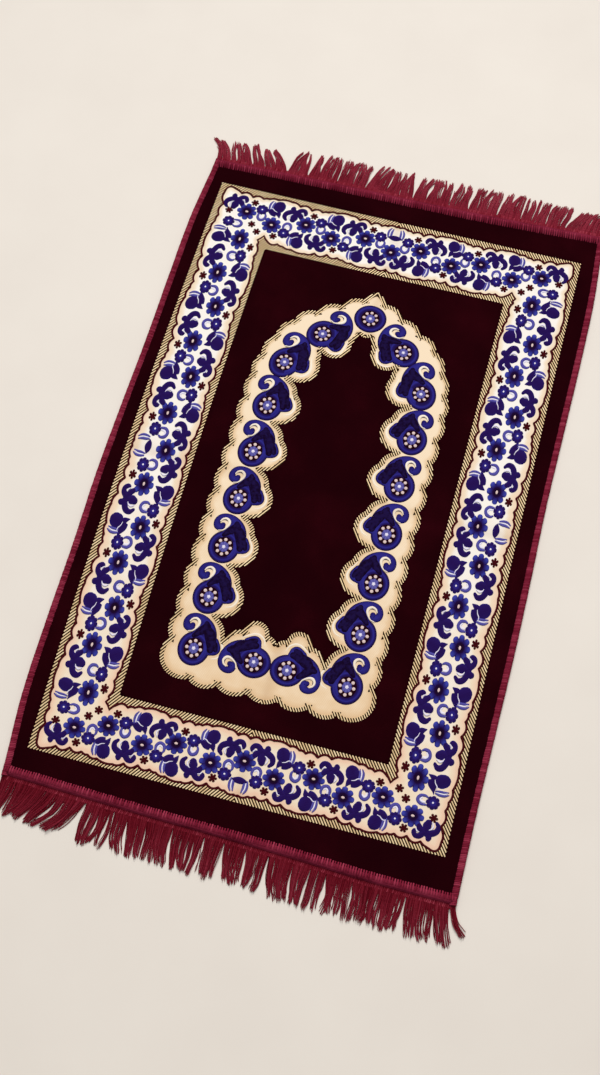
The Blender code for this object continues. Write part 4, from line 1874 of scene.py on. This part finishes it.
@dataclass
class YarnFringe:
    """A fringe: a sewn braid and some hundreds of loose strands that lie on the floor in uneven clumps."""

    end: str
    outward: float
    # Where each clump starts on the braid, where its cut ends lie, and its length.
    clumps: tuple[Row, ...]
    outline: Outline
    growers: Growers
    spacing: float = 0.5 * MM
    strand: float = 0.6 * MM
    points: int = 9
    bundle: tuple[float, float] = (6 * MM, 13 * MM)
    # How high on the braid the strands start, how far under it, and how high a bundle's middle mounds up, from
    # the least to the most, in millimetres.
    root_height: float = 2.6 * MM
    tuck: float = 1.0 * MM
    mounds: tuple[float, float] = (1.6, 3.4)
    stray_share: float = 0.05

    def base(self, x: np.ndarray) -> np.ndarray:
        """The y of the heading's outer edge."""
        return self.outline.read(self.outline.ends, 1 if self.end == "near" else 2, x)

    def strands(self) -> tuple[list[np.ndarray], list[np.ndarray], list[np.ndarray]]:
        """The strands' lines, with each one's thickness and tone.

        Returns:
            The lines, the half thickness along each, and the tone along each.
        """
        rng = np.random.default_rng(SEED + (self.end == "far"))
        lines, thick, tones = [], [], []
        part = np.linspace(0, 1, self.points)
        # Painted light: the far fringe's tones are set much lighter than the near one's, for the low lamp beyond
        # the far end.
        painted_light_end_tone = 0.75 if self.end == "far" else 0.22
        for root_left, root_right, tip_left, tip_right, length in self.clumps:
            edges = [0.0]
            while edges[-1] < 1.0:
                edges.append(edges[-1] + rng.uniform(*self.bundle) / (root_right - root_left))
            edges = np.array(edges) / edges[-1]
            for first, last in zip(edges[:-1], edges[1:]):
                wide = (last - first) * (tip_right - tip_left)
                middle = tip_left + (tip_right - tip_left) * (first + last) / 2
                middle += rng.uniform(-3.0, 3.0) * MM
                pull = rng.uniform(0.66, 1.0)
                bend = rng.uniform(-4.0, 4.0) * MM
                phase = rng.uniform(0, math.tau)
                deep = rng.uniform(0.6, 2.0) * MM
                reach_all = length * rng.uniform(0.94, 1.03)
                mound = rng.uniform(*self.mounds) * MM
                count = max(4, int((last - first) * (root_right - root_left) / self.spacing))
                for number in range(count):
                    share = (number + rng.uniform(0.1, 0.9)) / count
                    root = root_left + (root_right - root_left) * (first + (last - first) * share)
                    across = np.clip(share - 0.5 + rng.normal(0, 0.14), -0.6, 0.6)
                    tip = middle + across * wide * pull
                    reach = reach_all * rng.uniform(0.9, 1.03) * (1 - 0.05 * abs(2 * across) ** 2)
                    stray = rng.random() < self.stray_share
                    bow = bend + rng.normal(0, 3.5 if stray else 0.7) * MM
                    if stray:
                        tip += rng.normal(0, 4.5) * MM
                        reach *= rng.uniform(0.75, 1.05)
                    wave = deep * np.sin(part * 7 + phase) * part
                    x = root + (tip - root) * part**1.7 + bow * np.sin(math.pi * part) * part + wave
                    out = (reach + self.tuck) * part - self.tuck
                    y = self.base(np.array([root]))[0] + self.outward * out
                    layer = self.strand + rng.uniform(0.0, 1.0) * mound * (1 - 1.6 * across**2)
                    z = self.root_height + (layer - self.root_height) * np.clip(part * 3, 0, 1)
                    z = np.maximum(z * (1 - 0.35 * part**2), self.strand)
                    lines.append(np.column_stack([x, y, z]))
                    size = self.strand * rng.uniform(0.8, 1.15)
                    thick.append(size * (1 - 0.3 * part**6))
                    # Painted light and shade: strands that lie high on a bundle's mound get a lighter tone,
                    # those beneath darker ones.
                    depth = (layer - self.strand) / (self.mounds[1] * MM)
                    tone = painted_light_end_tone + 0.6 * depth + rng.normal(0, 0.2)
                    tones.append(np.full(self.points, np.clip(tone, 0, 1)))
        return lines, thick, tones

    def braid(self) -> Thing:
        """The sewn strip that the strands hang from, in slanting stitches."""
        share = np.linspace(-0.985, 0.985, 120)
        one = np.ones(len(share))
        line = self.outline.plan(share, self.outward * one, 0.0, 0.0)
        past_heading, height = 2.4 * MM, 1.4 * MM
        line[:, 1] += self.outward * past_heading
        raised = np.column_stack([line, height * one])
        ridge = stroke(((-2.6, 0, 1.3), (0, 0, 1.5), (2.6, 0, 1.3)), 1.7 * MM, steps=2)
        stitch = ridge.as_object("braid_stitch")
        source = lines_object(f"braid_{self.end}", [raised], reach=[one])
        inputs = {"Pitch": 2.5 * MM, "Slant": math.radians(80), "Unevenness": 0.08, "Seed": SEED}
        grown = self.growers.lay_along.grow(source, FRINGE_YARN, sharp=70.0, Stitch=stitch, **inputs)
        drop(stitch)
        return grown

    def build(self) -> None:
        """Spins the strands and sews the braid."""
        lines, thick, tones = self.strands()
        # Painted shade: each strand is darker at its root by the heading and lighter towards its cut end.
        shade = [np.linspace(0.1, 0.9, self.points) for _ in lines]
        source = lines_object(f"fringe_strands_{self.end}", lines, thick=thick, tone=tones, shade=shade)
        inputs = {"Waviness": 3.4 * MM, "Wave_length": 12 * MM, "Sides": 5, "Seed": SEED}
        strands = self.growers.spin.grow(source, FRINGE_YARN, **inputs)
        braid = self.braid()
        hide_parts(f"fringe_{self.end}")
        for piece in (strands, braid):
            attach(piece, ROOT)
            log.info("%s: %d faces", piece.name, len(piece.data.polygons))


NEAR_CLUMPS = (
    (-0.325, -0.258, -0.328, -0.284, 0.054),
    (-0.257, -0.199, -0.280, -0.232, 0.056),
    (-0.198, -0.168, -0.200, -0.177, 0.061),
    (-0.167, -0.158, -0.171, -0.157, 0.062),
    (-0.157, -0.072, -0.149, -0.070, 0.061),
    (-0.071, -0.026, -0.060, -0.031, 0.061),
    (-0.025, 0.002, -0.021, 0.000, 0.059),
    (0.003, 0.066, 0.010, 0.062, 0.058),
    (0.067, 0.138, 0.075, 0.134, 0.060),
    (0.139, 0.186, 0.141, 0.184, 0.059),
    (0.187, 0.262, 0.188, 0.259, 0.058),
    (0.263, 0.322, 0.270, 0.331, 0.058),
    (0.323, 0.330, 0.343, 0.352, 0.040),
)
FAR_CLUMPS = (
    (-0.322, -0.299, -0.337, -0.315, 0.043),
    (-0.298, -0.262, -0.305, -0.277, 0.043),
    (-0.261, -0.240, -0.273, -0.262, 0.046),
    (-0.239, -0.203, -0.248, -0.228, 0.042),
    (-0.202, -0.168, -0.186, -0.171, 0.052),
    (-0.167, -0.150, -0.158, -0.150, 0.050),
    (-0.149, -0.118, -0.140, -0.118, 0.053),
    (-0.117, -0.070, -0.112, -0.064, 0.053),
    (-0.069, -0.036, -0.048, -0.028, 0.056),
    (-0.035, -0.012, -0.024, -0.008, 0.052),
    (-0.011, 0.011, -0.004, 0.007, 0.055),
    (0.012, 0.072, 0.022, 0.071, 0.052),
    (0.073, 0.104, 0.084, 0.105, 0.053),
    (0.105, 0.152, 0.112, 0.156, 0.053),
    (0.153, 0.192, 0.160, 0.196, 0.053),
    (0.193, 0.216, 0.203, 0.218, 0.051),
    (0.217, 0.266, 0.226, 0.276, 0.049),
    (0.267, 0.325, 0.286, 0.335, 0.047),
)


def whipped_edges(outline: Outline, growers: Growers) -> None:
    """The two bound sides and the two headings, whipped over their solids.

    Args:
        outline: the rug's plan.
        growers: the trees that lay stitches.
    """
    share = np.linspace(-1, 1, 160)
    one = np.ones(len(share))
    side = {
        "half_width": outline.binding_width / 2,
        "height": 5.6 * MM,
        "bite": 1.6 * MM,
        "pitch": 2.5 * MM,
        "yarn": (1.4 * MM, 0.5 * MM),
        "slant": 8.0,
    }
    end = {
        "half_width": outline.heading_width / 2,
        "height": 6.6 * MM,
        "bite": 3.6 * MM,
        "pitch": 3.7 * MM,
        "yarn": (1.35 * MM, 0.6 * MM),
        "slant": 3.0,
        "half_wrapped": True,
    }
    edges = {
        "binding_left": (side, -one, share),
        "binding_right": (side, one, -share),
        "heading_near": (end, -share, -one),
        "heading_far": (end, share, one),
    }
    for name, (style, across, along) in edges.items():
        insets = (side["half_width"], 0.0) if style is side else (3 * MM, end["half_width"])
        route = outline.plan(across, along, *insets)
        WhippedEdge(f"whipping_{name}", route, growers, **style).build()
        bpy.data.objects[name].data.materials.clear()
        bpy.data.objects[name].data.materials.append(ROLL_YARN.material())


# ------------------------------------------------------------------------------
# Floor, light and camera


@dataclass
class Studio:
    """A plain pale floor, soft light from above and low from the far side, and a camera that looks down."""

    floor_half: float = 6.0
    lens: float = 52.62
    place: tuple[float, float, float] = (0.1946, -0.9933, 2.1662)
    right: tuple[float, float, float] = (0.96712, 0.25390, 0.01348)
    up: tuple[float, float, float] = (-0.23844, 0.88731, 0.39474)

    def floor(self) -> None:
        """The floor, level with the rug's underside."""
        half = self.floor_half
        mesh = bpy.data.meshes.new("floor")
        corners = [(-half, -half, 0), (half, -half, 0), (half, half, 0), (-half, half, 0)]
        mesh.from_pydata(corners, [], [(0, 1, 2, 3)])
        material = bpy.data.materials.new("pale_floor")
        material.use_nodes = True
        tree = material.node_tree
        shader = tree.nodes["Principled BSDF"]
        place = output(add_node(tree, "ShaderNodeTexCoord"), "Object")
        tint = ramp(tree, noise(tree, place, 0.15, detail=3.0), ((0.0, "#e3dcd4"), (1.0, "#ebe5dd")))
        tree.links.new(tint, shader.inputs["Base Color"])
        shader.inputs["Roughness"].default_value = 0.95
        mesh.materials.append(material)
        floor = placed("floor", mesh)

    @staticmethod
    def aim(lamp: Thing, way: Row) -> None:
        """Turns a lamp to shine along a direction."""
        lamp.rotation_euler = Vector(way).to_track_quat("-Z", "Y").to_euler()

    def light(self) -> None:
        """Soft light: an even sky all round, a wide low lamp beyond the far end, and a panel overhead."""
        world = bpy.data.worlds.new("sky")
        world.use_nodes = True
        background = world.node_tree.nodes["Background"]
        background.inputs["Color"].default_value = linear("#fffcf8")
        background.inputs["Strength"].default_value = 0.42
        bpy.context.scene.world = world
        lamp = bpy.data.lights.new("window", "SUN")
        lamp.angle = math.radians(24)
        lamp.energy = 2.1
        lamp.color = linear("#fffaf4")[:3]
        window = placed("window", lamp)
        self.aim(window, (0.35, -1.75, -1.0))
        panel = bpy.data.lights.new("panel", "AREA")
        panel.size = 1.5
        panel.energy = 27.0
        overhead = placed("panel", panel)
        overhead.location = (0.0, 1.0, 2.6)
        self.aim(overhead, (0.0, -1.0, -2.6))

    def camera(self) -> None:
        """The camera, with its axes given in the rug's frame."""
        data = bpy.data.cameras.new("camera")
        data.lens = self.lens
        data.sensor_width = 36.0
        data.clip_end = 50.0
        camera = placed("camera", data)
        right, up = Vector(self.right), Vector(self.up)
        turned = Matrix((right, up, right.cross(up))).transposed().to_4x4()
        camera.matrix_world = Matrix.Translation(self.place) @ turned
        bpy.context.scene.camera = camera
        bpy.context.scene.view_settings.view_transform = "Standard"

    def build(self) -> None:
        """Sets the stage."""
        self.floor()
        self.light()
        self.camera()


def main() -> None:
    """Builds the rug's looks and the stage."""
    logging.basicConfig(level=logging.INFO, format="%(name)s: %(message)s")
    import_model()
    Studio().build()
    growers = Growers()
    ground, *figured = FiguredCloth(OUTLINE, growers).build()
    whipped_edges(OUTLINE, growers)
    for end, outward, clumps in (("near", -1.0, NEAR_CLUMPS), ("far", 1.0, FAR_CLUMPS)):
        YarnFringe(end, outward, clumps, OUTLINE, growers).build()
    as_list(figured)


if __name__ == "__main__":
    main()
